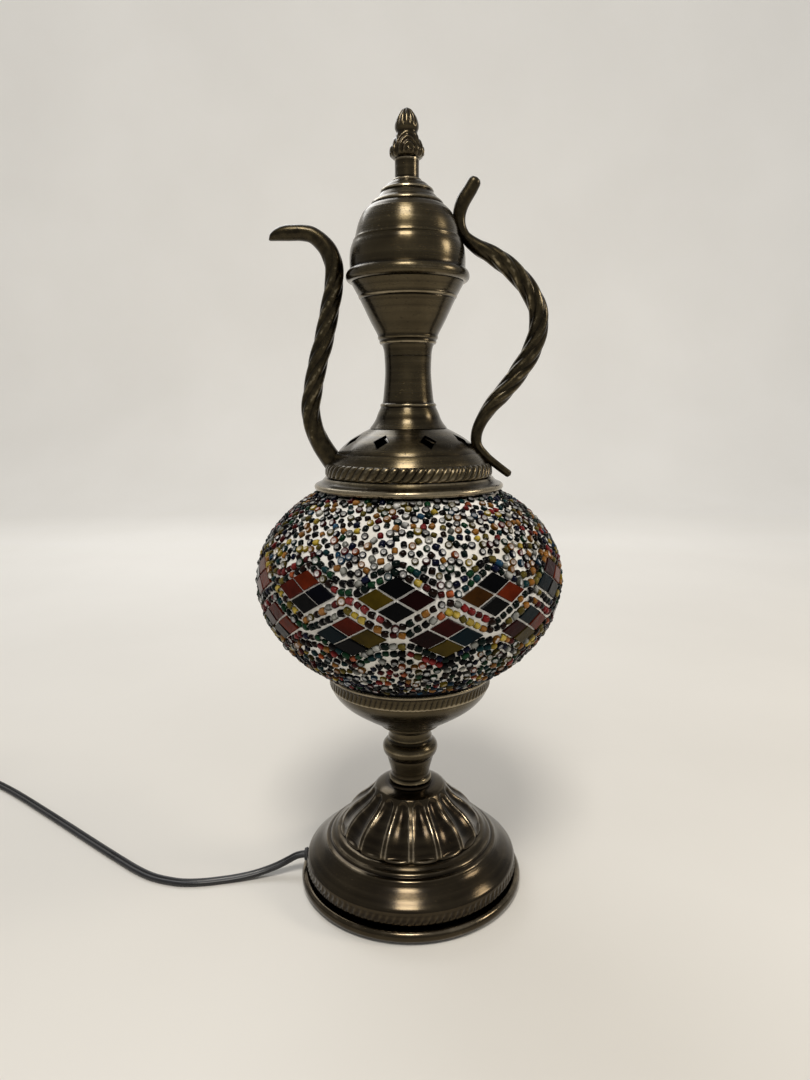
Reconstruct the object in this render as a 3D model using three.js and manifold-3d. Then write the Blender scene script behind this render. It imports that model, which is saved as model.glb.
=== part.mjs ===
// Table lamp in the shape of an ewer: a spun brass foot and stem, a glass globe under a coat of mosaic,
// and a brass cap with a spout and a handle that lifts off the globe's mouth.
// Millimetres, +Z up. The origin is the centre of the felt underside, on the table.
// The spout points to -X, the handle to +X, and the front faces -Y.
import * as THREE from "three";
import { mergeVertices } from "three/addons/utils/BufferGeometryUtils.js";
import Module from "manifold-3d";

// Driving dimensions: play and sheet
const gap = 0.3;
const wall = 1.4;
const screwRadius = 1.3;
const screwHeadRadius = 2.6;
const screwHeadThick = 1.6;
const nutThick = 5.5;
const nutOver = 3.6;
const washerThick = 1.5;
const washerOver = 5;
const edgeRound = 0.4;

// Driving dimensions: foot
const feltThick = 1.2;
const feltInset = 0.6;
const panPlate = 1.6;
const rimOut = 3.3;
const rimBead = 3.2;
const footRadius = 60.7;
const footHeight = 27.7;
const footLedgeOut = 1.8;
const footLedgeIn = 5.4;
const recessHeight = 5.4;
const recessDepth = 3.7;
const footFlangeWidth = 8;
const footFlangeThick = 2;
const panScrewCount = 3;
const panScrewLength = 6.5;
const ballastPlay = 2.6;
const ballastBore = 20;
const ballastThick = 7.5;
const domeRadius = 40.4;
const domeHeight = 29;
const domeCollarRadius = 12.6;
const fluteCount = 16;
const fluteDepth = 2.2;

// Driving dimensions: stem, cup and lamp holder
const stemHeight = 30.8;
const knobRadius = 15.7;
const stemTopRadius = 12.2;
const cupRimOut = 3;
const cupHeight = 35.8;
const rodRadius = 5;
const rodBore = 3.3;
const rodPastNut = 1.6;
const rodInHolder = 8.8;
const clampGrip = 3;
const clampThick = 2;
const holderRadius = 13.5;
const holderBaseHeight = 11;
const holderBevel = 3;
const insulatorThick = 3.2;
const sleevePlay = 0.9;
const screwShellWall = 1;
const sleeveFloorRadius = 4.3;
const sleeveBelowRim = 2;
const contactRadius = 2.3;
const contactRise = 1.4;
const bulbCapRadius = 6.7;
const bulbCapHeight = 26;
const bulbCapTaper = 4.2;
const bulbNeckRadius = 7.7;
const bulbRadius = 22.5;
const bulbLength = 78;
const leadRadius = 1.4;

// Driving dimensions: globe
const globeRadius = 82.6;
const globeUp = 57.6;
const globeLow = 63.5;
const coatThick = 2;
const glassThick = 2.5;
const mouthRadius = 41;
const bottomInset = 0.6;
const coatBelowMouth = 6;
const coatAboveBottom = 10;
const seatRadius = 43;
const seatLift = 1.9;
const gasketWidth = 4.4;
const gasketDepth = 10.4;

// Driving dimensions: mosaic, with places along the meridian measured up from the globe's equator
const bedSunk = 0.5;
const diamondCount = 11;
const diamondWide = 35;
const diamondTall = 20.2;
const tileLine = 1.2;
const tileRise = 0.7;
const upperRowUp = 6.3;
const lowerRowUp = -12.6;
const upperRowTurnDeg = -4.2;
const beadRise = 1.2;
const beadRoot = 4;
const beadLength = 1.6;
const beadRowOut = 2.9;
const beadRowSlope = 0.58;
const beadRowStep = 4.3;
const beadRowValley = 4;
const beadSpacing = 18;
const coatTolerance = 0.04;

// Driving dimensions: cap in the shape of an ewer
const skirtRadius = 50.6;
const skirtHeight = 6.2;
const collarDepth = 8;
const skirtLip = 3.4;
const shoulderRadius = 44.2;
const shoulderHeight = 25.1;
const ventCount = 8;
const ventWide = 7.4;
const ventTall = 10.6;
const ventHollow = 0.42;
const ventShare = 0.79;
const ventTurnDeg = -5.4;
const neckBaseRadius = 20.6;
const neckRadius = 12.1;
const neckHeight = 36.9;
const funnelRadius = 28.9;
const funnelHeight = 36.5;
const bandRadius = 29.8;
const bandBead = 3.2;
const bandHeight = 20.3;
const crownRadius = 27.2;
const crownHeight = 29.8;
const crownTopRadius = 7;
const tubeRadius = 6.1;
const tubeHeight = 8.6;
const tubeFlare = 1.1;
const finialRadius = 8.8;
const finialHeight = 24;
const tieRodRadius = 3;
const tieRodInFinial = 9;
const finialBoreCone = 2;
const spiderThick = 1.6;
const spiderArm = 8;
const armRadius = 5.2;
const armGroove = 0.2;
const spoutReach = 26.2;
const handleReach = 36.1;
const handleAside = 7;
const twistPitch = 47;
const spoutSeatRise = 10.5;
const spoutScrewReach = 6;
const handleScrewReach = 2.2;

// Driving dimensions: flat twin cord, its switch and its plug
const cordWidth = 5.4;
const cordThick = 2.8;
const grommetRadius = 3.9;
const grommetLip = 1;
const grommetIn = 12;
const grommetOut = 2;
const grommetGrip = 3.8;
const grommetHeight = 8.4;
const switchLength = 58;
const switchWidth = 23;
const switchBaseThick = 7;
const switchCoverThick = 8;
const switchWindowLength = 15.2;
const switchWindowWidth = 10;
const rockerTiltDeg = 8;
const rockerPinRadius = 1.4;
const rockerPinPast = 2;
const rockerWell = 5;
const rockerEndPlay = 1.2;
const rockerRise = 1.6;
const rockerDish = 1.2;
const rockerKeel = 4;
const rockerSide = 2;
const switchCordHeight = 4.6;
const switchToCoil = 22;
const coilMiddleRadius = 31;
const coilTurns = 7.25;
const coilPitch = 4.2;
const coilLayer = 6;
const coilClimb = 0.15;
const coilLift = 1;
const coilTail = 24;
const tieWidth = 6;
const tieThick = 0.5;
const plugWidth = 26;
const plugThick = 19.6;
const plugLength = 30;
const plugNeck = 20;
const plugNeckWall = 1.3;
const bladeLength = 16;
const bladeWidth = 6.3;
const bladeThick = 1.5;
const bladeSpacing = 12.7;

// Faces round a turned piece, by its size
const bigSides = 24;
const middleSides = 18;
const smallSides = 12;
const screwSides = 8;
const cordSides = 8;
const globeSteps = 7;
const coilSides = 6;
const coilStepsPerTurn = 18;
const barSides = 8;
const starCorners = 8;

// Sizes that follow from their neighbours
const rimRadius = footRadius + rimOut;
const feltRadius = rimRadius - 2 * rimBead - feltInset;
const recessRadius = footRadius - recessDepth;
const footFlangeRadius = recessRadius - wall - footFlangeWidth;
const ballastRadius = footFlangeRadius - ballastPlay;
const footLedgeRadius = domeRadius + footLedgeOut;
const footBoreRadius = domeRadius - footLedgeIn;
const clampRadius = footBoreRadius + clampGrip;
const cupRadius = seatRadius + cupRimOut;
const bottomRadius = seatRadius - gasketWidth - bottomInset;
const screwShellRadius = bulbCapRadius + sleevePlay + screwShellWall;
const holderHeight = 2 * wall + gap + insulatorThick + contactRise + gap + bulbCapHeight;

// Heights of the stacked pieces above the table
const panZ = feltThick;
const footZ = panZ + panPlate + gap;
const domeZ = footZ + footHeight + gap;
const stemZ = domeZ + domeHeight + gap;
const cupZ = stemZ + stemHeight + gap;
const rimZ = cupZ + cupHeight;
const glassRadius = globeRadius - coatThick - gap;
const glassUp = globeUp - coatThick - gap;
const glassLow = globeLow - coatThick - gap;
const globeZ = rimZ + seatLift + gap + glassLow * Math.sqrt(1 - (seatRadius / glassRadius) ** 2);
const mouthZ = globeZ + glassUp * Math.sqrt(1 - (mouthRadius / glassRadius) ** 2);
const skirtZ = mouthZ + gap;
const shoulderZ = skirtZ + skirtHeight + gap;
const neckZ = shoulderZ + shoulderHeight + gap;
const funnelZ = neckZ + neckHeight + gap;
const bandZ = funnelZ + funnelHeight + gap;
const crownZ = bandZ + bandHeight + gap;
const tubeZ = crownZ + crownHeight + gap;
const finialZ = tubeZ + tubeHeight + gap;

const wasm = await Module();
wasm.setup();

// Finishes
const finish = (color, roughness, metalness) =>
  new THREE.MeshStandardMaterial({ color, roughness, metalness });
const brass = finish(0x6b5a3c, 0.38, 1);
const darkBrass = finish(0x4d4230, 0.42, 1);
const steel = finish(0x9a9a96, 0.35, 1);
const iron = finish(0x3a3a3a, 0.7, 0.8);
const clearGlass = finish(0xdfe6e2, 0.08, 0);
const mosaic = finish(0xcfc8b6, 0.5, 0);
const felt = finish(0x1d2a22, 0.95, 0);
const rubber = finish(0x17171a, 0.6, 0);
const ceramic = finish(0xe8e4d8, 0.4, 0);
const flex = finish(0x0c0c0e, 0.4, 0);

const lamp = new THREE.Group();

// Adds one named piece to the lamp
function piece(name, geometry, material) {
  const mesh = new THREE.Mesh(geometry, material);
  mesh.name = name;
  lamp.add(mesh);
  return mesh;
}

// A solid turned about Z from a loop of [radius, height] points
function turned(loop, sides) {
  const points = loop.map(([r, z]) => new THREE.Vector2(r, z));
  if (THREE.ShapeUtils.area(points) < 0) points.reverse();
  const onAxis = points[0].x === 0 && points[points.length - 1].x === 0;
  if (!onAxis) points.push(points[0].clone());
  return new THREE.LatheGeometry(points, sides).rotateX(Math.PI / 2);
}

// A line of [radius, height] points from shares of two radii and two heights
function between(r0, r1, z0, z1, shares) {
  return shares.map(([u, v]) => [r0 + (r1 - r0) * u, z0 + (z1 - z0) * v]);
}

// The line moved towards the axis by a wall, with its two ends kept at their heights
function inset(line, thick) {
  return line.map(([r, z], i) => {
    if (i === 0 || i === line.length - 1) return [r - thick, z];
    const [ra, za] = line[i - 1];
    const [rb, zb] = line[i + 1];
    const along = Math.hypot(rb - ra, zb - za);
    return [r - (thick * (zb - za)) / along, z + (thick * (rb - ra)) / along];
  });
}

// Every second point of a line, with both ends
const thinned = (line) => line.filter((_, i) => i % 2 === 0 || i === line.length - 1);

// A spun shell: an outer line, drawn upwards, and its inside with half the points
function spun(line, thick, sides) {
  return turned([...line, ...thinned(inset(line, thick)).reverse()], sides);
}

// Radius of a line of points at a height, the line running one way in height
function radiusAt(line, z) {
  const rising = line[0][1] < line[line.length - 1][1] ? line : [...line].reverse();
  const after = rising.findIndex((p) => p[1] >= z);
  if (after <= 0) return after === 0 ? rising[0][0] : rising[rising.length - 1][0];
  const [r0, z0] = rising[after - 1];
  const [r1, z1] = rising[after];
  return r0 + ((r1 - r0) * (z - z0)) / (z1 - z0);
}

// A closed tube through rings of points, every ring with as many points: with flat ends, or endless
function loft(rings, endless = false) {
  const count = rings[0].length;
  const positions = rings.flat().flatMap((p) => [p.x, p.y, p.z]);
  const index = [];
  const spans = endless ? rings.length : rings.length - 1;
  for (let i = 0; i < spans; i++) {
    const here = i * count;
    const next = ((i + 1) % rings.length) * count;
    for (let j = 0; j < count; j++) {
      const k = (j + 1) % count;
      index.push(here + j, here + k, next + k, here + j, next + k, next + j);
    }
  }
  const last = (rings.length - 1) * count;
  for (let j = 1; j + 1 < count && !endless; j++) {
    index.push(0, j + 1, j, last, last + j, last + j + 1);
  }
  const geometry = new THREE.BufferGeometry();
  geometry.setAttribute("position", new THREE.Float32BufferAttribute(positions, 3));
  geometry.setIndex(index);
  return geometry;
}

// Rings of a section carried along a path: section(share, i) gives [side, up] pairs round the path.
// Side is level and square to the path, unless the path itself stands in the plane of a given side.
function swept(path, section, sideWhenUpright) {
  const up = new THREE.Vector3(0, 0, 1);
  const rings = path.map((p, i) => {
    const before = path[Math.max(i - 1, 0)];
    const after = path[Math.min(i + 1, path.length - 1)];
    const along = after.clone().sub(before).normalize();
    const side = sideWhenUpright ? sideWhenUpright.clone() : up.clone().cross(along).normalize();
    const over = along.clone().cross(side).normalize();
    side.copy(over).cross(along).normalize();
    const pairs = section(i / (path.length - 1), i);
    return pairs.map(([s, u]) => p.clone().addScaledVector(side, s).addScaledVector(over, u));
  });
  return loft(rings);
}

// Points of a flat round-edged section, turned by an angle about the path
function flatSection(width, thick, turn, count) {
  return Array.from({ length: count }, (_, j) => {
    const a = (2 * Math.PI * (j + 0.5)) / count;
    const c = Math.cos(a);
    const s = Math.sin(a);
    const share = Math.cos(Math.PI / count);
    const w = ((width / 2) * Math.sign(c) * Math.abs(c) ** 0.6) / share ** 0.6;
    const t = ((thick / 2) * Math.sign(s) * Math.abs(s) ** 0.6) / Math.sin((Math.PI / count) * 3) ** 0.6;
    const limited = Math.max(-thick / 2, Math.min(thick / 2, t));
    return [w * Math.cos(turn) - limited * Math.sin(turn), w * Math.sin(turn) + limited * Math.cos(turn)];
  });
}

// Joins and cuts
function solidOf(geometry) {
  const bare = geometry.clone();
  bare.deleteAttribute("normal");
  bare.deleteAttribute("uv");
  const merged = mergeVertices(bare, 1e-4);
  const vertProperties = new Float32Array(merged.attributes.position.array);
  const triVerts = new Uint32Array(merged.index.array);
  return new wasm.Manifold(new wasm.Mesh({ numProp: 3, vertProperties, triVerts }));
}

function geometryOf(solid) {
  const mesh = solid.getMesh();
  const geometry = new THREE.BufferGeometry();
  geometry.setAttribute("position", new THREE.BufferAttribute(new Float32Array(mesh.vertProperties), 3));
  geometry.setIndex(new THREE.BufferAttribute(new Uint32Array(mesh.triVerts), 1));
  return geometry;
}

function cut(geometry, cutters) {
  const left = cutters.reduce((solid, cutter) => solid.subtract(solidOf(cutter)), solidOf(geometry));
  return geometryOf(left);
}

function joined(geometries) {
  const [first, ...rest] = geometries.map(solidOf);
  return geometryOf(rest.reduce((solid, other) => solid.add(other), first));
}

const hullOf = (points) => geometryOf(wasm.Manifold.hull(points.map((p) => p.toArray())));

// Turns a geometry made along +Z so that it runs from a point along a direction
function aimed(geometry, from, direction) {
  const upright = new THREE.Vector3(0, 0, 1);
  const turn = new THREE.Quaternion().setFromUnitVectors(upright, direction.clone().normalize());
  return geometry.applyQuaternion(turn).translate(from.x, from.y, from.z);
}

const disc = (inner, outer, z0, z1, sides) =>
  turned([[inner, z0], [outer, z0], [outer, z1], [inner, z1]], sides);

// A round bar along +Z from the origin
const bar = (radius, length, sides) => new THREE.CylinderGeometry(radius, radius, length, sides)
  .rotateX(Math.PI / 2)
  .translate(0, 0, length / 2);

// A screw along +Z: its head below the origin, its shank above
const screw = (length) => turned([
  [0, -screwHeadThick],
  [screwHeadRadius, -screwHeadThick],
  [screwHeadRadius, 0],
  [screwRadius, 0],
  [screwRadius, length],
  [0, length],
], screwSides);

// A hexagon nut round the axis, with its bore
function nut(boreRadius, z) {
  const shape = new THREE.Shape();
  const across = boreRadius + nutOver;
  Array.from({ length: 6 }, (_, i) => (i * Math.PI) / 3).forEach((a, i) => {
    shape[i ? "lineTo" : "moveTo"](across * Math.cos(a), across * Math.sin(a));
  });
  shape.holes.push(new THREE.Path().absarc(0, 0, boreRadius, 0, 2 * Math.PI, true));
  const settings = { depth: nutThick, bevelEnabled: false, curveSegments: 6 };
  return new THREE.ExtrudeGeometry(shape, settings).translate(0, 0, z);
}

// Foot: felt, pan with its rolled rim, screws, ballast and the spun foot
const panScrewCircle = footFlangeRadius + footFlangeWidth / 2;
const panScrewPlaces = Array.from({ length: panScrewCount }, (_, i) => {
  const a = (2 * Math.PI * (i + 0.25)) / panScrewCount;
  return new THREE.Vector3(panScrewCircle * Math.cos(a), panScrewCircle * Math.sin(a), panZ);
});
const panScrewHeadThick = feltThick - gap;
const panScrewHoles = (radius, from, length) =>
  panScrewPlaces.map((p) => bar(radius, length, screwSides).translate(p.x, p.y, from));

const feltHoles = panScrewHoles(screwHeadRadius + gap, -gap, feltThick + 2 * gap);
piece("felt_pad", cut(turned([[0, 0], [feltRadius, 0], [feltRadius, feltThick], [0, feltThick]], bigSides),
  feltHoles), felt);

const beadMiddle = rimRadius - rimBead;
const beadZ = panZ + rimBead - 2 * gap;
const rollFrom = -0.66 * Math.PI;
const rollSweep = 1.5 * Math.PI;
const rollSteps = 7;
const beadArc = Array.from({ length: rollSteps + 1 }, (_, i) => {
  const a = rollFrom + (rollSweep * i) / rollSteps;
  return [beadMiddle + rimBead * Math.cos(a), beadZ + rimBead * Math.sin(a)];
});
const panLoop = [
  [0, panZ],
  [beadMiddle - rimBead, panZ],
  ...beadArc,
  [Math.max(recessRadius + gap, beadMiddle - rimBead), panZ + panPlate],
  [0, panZ + panPlate],
];
const panGeometry = turned(panLoop, bigSides);
const panHoles = panScrewHoles(screwRadius + gap, panZ - gap, panPlate + 2 * gap);
piece("base_pan", cut(panGeometry, panHoles), darkBrass);

panScrewPlaces.forEach((p, i) => {
  const shape = turned([
    [0, -panScrewHeadThick],
    [screwHeadRadius, -panScrewHeadThick],
    [screwHeadRadius, -gap / 3],
    [screwRadius, -gap / 3],
    [screwRadius, panScrewLength],
    [0, panScrewLength],
  ], screwSides);
  piece("pan_screw_" + (i + 1), shape.translate(p.x, p.y, p.z), steel);
});

piece("ballast_disc", disc(ballastBore, ballastRadius, footZ, footZ + ballastThick, middleSides), iron);

// The foot's wall rises from its recess, swells, and steps in to the ledge that carries the fluted dome
const footOuter = [
  ...between(recessRadius, footRadius, footZ, footZ + recessHeight, [[0, 0], [0, 0.95]]),
  ...between(footLedgeRadius, footRadius, footZ + recessHeight, footZ + footHeight, [
    [0.95, 0.02], [1, 0.12], [0.98, 0.24], [0.87, 0.39], [0.66, 0.57], [0.45, 0.74], [0.31, 0.84],
    [0.29, 0.88], [0.14, 0.93], [0, 1],
  ]),
];
const footInner = inset(footOuter, wall);
const footTop = footZ + footHeight;
const footLoop = [
  [footFlangeRadius, footZ],
  ...footOuter,
  [footBoreRadius, footTop],
  [footBoreRadius, footTop - wall],
  [footInner[footInner.length - 2][0], footTop - wall - gap],
  ...thinned(footInner.slice(2, -2)).reverse(),
  [recessRadius - wall, footZ + footFlangeThick],
  [footFlangeRadius, footZ + footFlangeThick],
];
const cordExit = new THREE.Vector3(-footRadius, 0, footZ + grommetHeight);
const outward = new THREE.Vector3(-1, 0, 0);
const grommetNeck = grommetRadius - grommetLip;
const grommetHole = aimed(
  bar(grommetNeck + gap, grommetIn + grommetOut, smallSides),
  cordExit.clone().addScaledVector(outward, -grommetIn),
  outward,
);
const footHoles = panScrewHoles(screwRadius + gap, footZ - gap, footFlangeThick + 2 * gap);
piece("base_foot", cut(turned(footLoop, bigSides), [...footHoles, grommetHole]), darkBrass);

// The rubber grommet: a small flange outside, a neck through the wall and a tapered boot inside
const grommetShape = turned([
  [0, -grommetIn],
  [grommetNeck - grommetLip / 2, -grommetIn],
  [grommetNeck + grommetLip / 2, -grommetGrip - gap],
  [grommetNeck, -grommetGrip],
  [grommetNeck, gap],
  [grommetRadius, gap],
  [grommetRadius - grommetLip / 2, grommetOut],
  [0, grommetOut],
], smallSides);
piece("cord_grommet", aimed(grommetShape, cordExit, outward), rubber);

// Fluted dome: concave flutes with sharp ridges, under a plain collar
const domeOuter = between(0, domeRadius, domeZ, domeZ + domeHeight, [
  [1, 0], [0.975, 0.12], [0.9, 0.29], [0.795, 0.448], [0.663, 0.586], [0.56, 0.73], [0.51, 0.835],
]);
const domeCap = [
  ...between(domeCollarRadius, domeRadius, domeZ, domeZ + domeHeight, [[0.2, 0.89], [0.05, 0.94]]),
  [domeCollarRadius, domeZ + 0.965 * domeHeight],
  [domeCollarRadius, domeZ + domeHeight],
];
const domeColumns = 3 * fluteCount;
const ringOf = (radius, z) => Array.from({ length: domeColumns }, (_, j) => {
  const a = (2 * Math.PI * j) / domeColumns;
  const r = typeof radius === "function" ? radius(j) : radius;
  return new THREE.Vector3(r * Math.cos(a), r * Math.sin(a), z);
});
const fluteRings = domeOuter.map(([r, z], i) => {
  const share = Math.sin((Math.PI * i) / (domeOuter.length - 1)) ** 0.5;
  return ringOf((j) => r - (j % 3 ? fluteDepth * share : 0), z);
});
const capRings = domeCap.map(([r, z]) => ringOf(r, z));
const domeBody = loft([...fluteRings, ...capRings]);
const domeInside = inset([...domeOuter, ...domeCap], wall + fluteDepth);
const domeHollow = turned([
  [0, domeZ - gap],
  [domeInside[0][0], domeZ - gap],
  ...thinned(domeInside.slice(1, domeOuter.length)),
  [rodRadius + gap, domeZ + domeHeight - 3 * wall],
  [rodRadius + gap, domeZ + domeHeight + gap],
  [0, domeZ + domeHeight + gap],
], middleSides);
piece("fluted_dome", cut(domeBody, [domeHollow]), darkBrass);

// Stem: foot ring, waist, knob and collar round the rod
const rodClear = rodRadius + gap;
const stemTop = stemZ + stemHeight;
const stemLoop = [
  [rodClear, stemZ],
  ...between(0, knobRadius, stemZ, stemTop, [
    [0.765, 0], [0.765, 0.08], [0.69, 0.115], [0.72, 0.2], [0.83, 0.42], [0.845, 0.51], [0.97, 0.585],
    [1, 0.66], [0.94, 0.735], [0.785, 0.79],
  ]),
  [stemTopRadius, stemTop - 0.16 * stemHeight],
  [stemTopRadius, stemTop],
  [rodClear, stemTop],
];
piece("stem_baluster", turned(stemLoop, middleSides), brass);

// Cup: a dish with a rolled rim
const cupOuter = [
  [stemTopRadius + edgeRound, cupZ],
  ...between(stemTopRadius, cupRadius, cupZ, rimZ, [
    [0.18, 0.125], [0.4, 0.265], [0.66, 0.43], [0.85, 0.6], [0.955, 0.74], [0.975, 0.85], [1, 0.97],
  ]),
  [cupRadius - edgeRound, rimZ],
];
const cupInside = thinned(inset(cupOuter, wall).slice(2));
const cupFloorZ = cupZ + wall;
const cupLoop = [
  [rodClear, cupZ],
  ...cupOuter,
  ...[...cupInside].reverse(),
  [stemTopRadius, cupFloorZ],
  [rodClear, cupFloorZ],
];
piece("globe_cup", turned(cupLoop, bigSides), brass);

// Rod through foot, stem and cup, with a clamp plate below and a nut at each end
const clampZ = footTop - wall - gap - clampThick;
const lowerWasherZ = clampZ - gap - washerThick;
const lowerNutZ = lowerWasherZ - gap - nutThick;
const rodBottom = lowerNutZ - rodPastNut;
const cupWasherZ = cupFloorZ + gap;
const cupNutZ = cupWasherZ + washerThick + gap;
const holderBaseZ = cupNutZ + nutThick + gap;
const rodTop = holderBaseZ + rodInHolder;
piece("clamp_plate", disc(rodClear, clampRadius, clampZ, clampZ + clampThick, middleSides), steel);
const washer = (bore, z) => disc(bore, bore + washerOver, z, z + washerThick, smallSides);
piece("lower_washer", washer(rodClear, lowerWasherZ), steel);
piece("lower_nut", nut(rodClear, lowerNutZ), steel);
piece("base_rod", disc(rodBore, rodRadius, rodBottom, rodTop, smallSides), steel);
piece("cup_washer", washer(rodClear, cupWasherZ), steel);
piece("cup_nut", nut(rodClear, cupNutZ), steel);

// Lamp holder: base, shell, insulator, threaded sleeve and centre contact
const holderBaseTop = holderBaseZ + holderBaseHeight;
const leadHole = rodBore;
piece("holder_base", turned([
  [rodClear, holderBaseZ],
  [holderRadius - holderBevel, holderBaseZ],
  [holderRadius, holderBaseZ + holderBevel],
  [holderRadius, holderBaseTop],
  [leadHole, holderBaseTop],
  [leadHole, rodTop + gap],
  [rodClear, rodTop + gap],
], smallSides), ceramic);

const shellZ = holderBaseTop + gap;
const shellFloor = shellZ + 2 * wall;
piece("holder_shell", turned([
  [leadHole, shellZ],
  [holderRadius, shellZ],
  [holderRadius, shellZ + holderHeight],
  [holderRadius - wall, shellZ + holderHeight],
  [holderRadius - wall, shellFloor],
  [leadHole, shellFloor],
], smallSides), ceramic);

const insulatorZ = shellFloor + gap;
const insulatorTop = insulatorZ + insulatorThick;
const contactClear = contactRadius + gap;
const insulatorRadius = holderRadius - wall - gap;
piece("holder_insulator", disc(contactClear, insulatorRadius, insulatorZ, insulatorTop, smallSides), ceramic);

const contactTop = insulatorTop + contactRise;
piece("centre_contact", turned([
  [0, insulatorZ], [contactRadius, insulatorZ], [contactRadius, contactTop], [0, contactTop],
], screwSides), brass);

const sleeveZ = insulatorTop + gap;
const sleeveTop = shellZ + holderHeight - sleeveBelowRim;
const sleeveInner = screwShellRadius - screwShellWall;
piece("screw_shell", turned([
  [sleeveFloorRadius, sleeveZ],
  [screwShellRadius, sleeveZ],
  [screwShellRadius, sleeveTop],
  [sleeveInner, sleeveTop],
  [sleeveInner, sleeveZ + screwShellWall],
  [sleeveFloorRadius, sleeveZ + screwShellWall],
], smallSides), brass);

// Bulb: threaded cap and a ball of glass
const bulbZ = contactTop + gap;
const bulbCapTop = bulbZ + bulbCapHeight;
piece("bulb_cap", turned([
  [0, bulbZ],
  [contactRadius, bulbZ],
  [bulbCapRadius, bulbZ + bulbCapTaper],
  [bulbCapRadius, bulbCapTop],
  [0, bulbCapTop],
], smallSides), brass);
const ballZ = bulbZ + bulbLength - bulbRadius;
const ballFrom = -0.22 * Math.PI;
const ballSteps = 7;
const ballArc = Array.from({ length: ballSteps + 1 }, (_, i) => {
  const a = ballFrom + ((Math.PI / 2 - ballFrom) * i) / ballSteps;
  return [i === ballSteps ? 0 : bulbRadius * Math.cos(a), ballZ + bulbRadius * Math.sin(a)];
});
piece("bulb_glass", turned([
  [0, bulbCapTop + gap],
  [bulbNeckRadius, bulbCapTop + gap],
  ...ballArc,
], smallSides), clearGlass);

// Inner lead: from the grommet across the foot, up through the rod to the holder
const leadDip = footZ + 4 * leadRadius;
const leadStart = cordExit.x + grommetIn + gap;
const leadOverBallast = footZ + ballastThick + 2 * leadRadius;
const leadRoute = new THREE.CatmullRomCurve3([
  new THREE.Vector3(leadStart, 0, cordExit.z),
  new THREE.Vector3(leadStart + 6 * leadRadius, 0, leadOverBallast),
  new THREE.Vector3(-ballastBore - 3 * leadRadius, 0, leadOverBallast),
  new THREE.Vector3(-ballastBore / 2, 0, leadDip),
  new THREE.Vector3(-ballastBore / 6, 0, leadDip + leadRadius),
  new THREE.Vector3(0, 0, rodBottom),
  new THREE.Vector3(0, 0, rodBottom + nutThick),
  new THREE.Vector3(0, 0, rodTop),
  new THREE.Vector3(0, 0, insulatorZ - gap),
], false, "centripetal");
const leadSides = 6;
const leadSteps = 20;
const leadSection = () => Array.from({ length: leadSides }, (_, j) => {
  const a = (2 * Math.PI * j) / leadSides;
  return [leadRadius * Math.cos(a), leadRadius * Math.sin(a)];
});
const sideY = new THREE.Vector3(0, 1, 0);
piece("inner_lead", swept(leadRoute.getPoints(leadSteps), leadSection, sideY), flex);

// Globe: a thin glass spheroid, deeper below its equator than above, open at top and bottom.
// The coat round it ends short of both openings, and both are drawn at the same angles.
const coatFrom = -Math.acos((bottomRadius + coatAboveBottom) / globeRadius);
const coatTo = Math.acos((mouthRadius + coatBelowMouth) / globeRadius);
const coatStep = (coatTo - coatFrom) / globeSteps;
const coatAngles = Array.from({ length: globeSteps + 1 }, (_, i) => coatFrom + coatStep * i);
const glassFrom = -Math.acos(bottomRadius / glassRadius);
const glassTo = Math.acos(mouthRadius / glassRadius);
const glassAngles = [glassFrom, ...coatAngles, glassTo];
function globeLine(angles, inside) {
  return angles.map((a) => [
    (globeRadius - inside) * Math.cos(a),
    globeZ + ((a > 0 ? globeUp : globeLow) - inside) * Math.sin(a),
  ]);
}
const glassIn = coatThick + gap;
const glassOuter = globeLine(glassAngles, glassIn);
const glassInner = thinned(globeLine(glassAngles, glassIn + glassThick));
piece("globe_glass", turned([...glassOuter, ...glassInner.reverse()], bigSides), clearGlass);

// A place on the globe: turned from the front, at an angle above the equator, lifted along the normal
const front = -Math.PI / 2;
const axisZ = new THREE.Vector3(0, 0, 1);
function placeAt(turn, angle, lift) {
  const depth = angle > 0 ? globeUp : globeLow;
  const normal = new THREE.Vector3(Math.cos(angle) / globeRadius, 0, Math.sin(angle) / depth).normalize();
  return new THREE.Vector3(globeRadius * Math.cos(angle), 0, globeZ + depth * Math.sin(angle))
    .addScaledVector(normal, lift)
    .applyAxisAngle(axisZ, front + turn);
}

// The angle above the equator at a distance up along the meridian, found in small steps
function angleUp(up) {
  const depth = up > 0 ? globeUp : globeLow;
  const steps = 40;
  let angle = 0;
  for (let i = 0; i < steps; i++) {
    angle += up / steps / Math.hypot(globeRadius * Math.sin(angle), depth * Math.cos(angle));
  }
  return angle;
}
const placeUp = (turn, up, lift) => placeAt(turn, angleUp(up), lift);

// Diamonds of four flat tiles, in two rows that stand half a step apart
const rootLift = -1.3 * coatThick;
const diamondStep = (2 * Math.PI) / diamondCount;
const upperRowTurn = (upperRowTurnDeg * Math.PI) / 180;
const lowerRowTurn = upperRowTurn + diamondStep / 2;
function tile(turn, up) {
  const halfWide = (diamondWide / 4) * (1 - (2 * tileLine) / diamondTall);
  const halfTall = (diamondTall / 4) * (1 - (2 * tileLine) / diamondTall);
  const round = globeRadius * Math.cos(angleUp(up));
  const corners = [[0, halfTall], [halfWide, 0], [0, -halfTall], [-halfWide, 0]];
  const onGlobe = (lift) => corners.map(([x, y]) => placeUp(turn + x / round, up + y, lift));
  const middle = placeUp(turn, up, tileRise - bedSunk);
  const normal = placeUp(turn, up, tileRise - bedSunk + 1).sub(middle);
  const flat = onGlobe(0).map((p) => p.addScaledVector(normal, middle.clone().sub(p).dot(normal)));
  return hullOf([...flat, ...onGlobe(rootLift)]);
}
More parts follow.
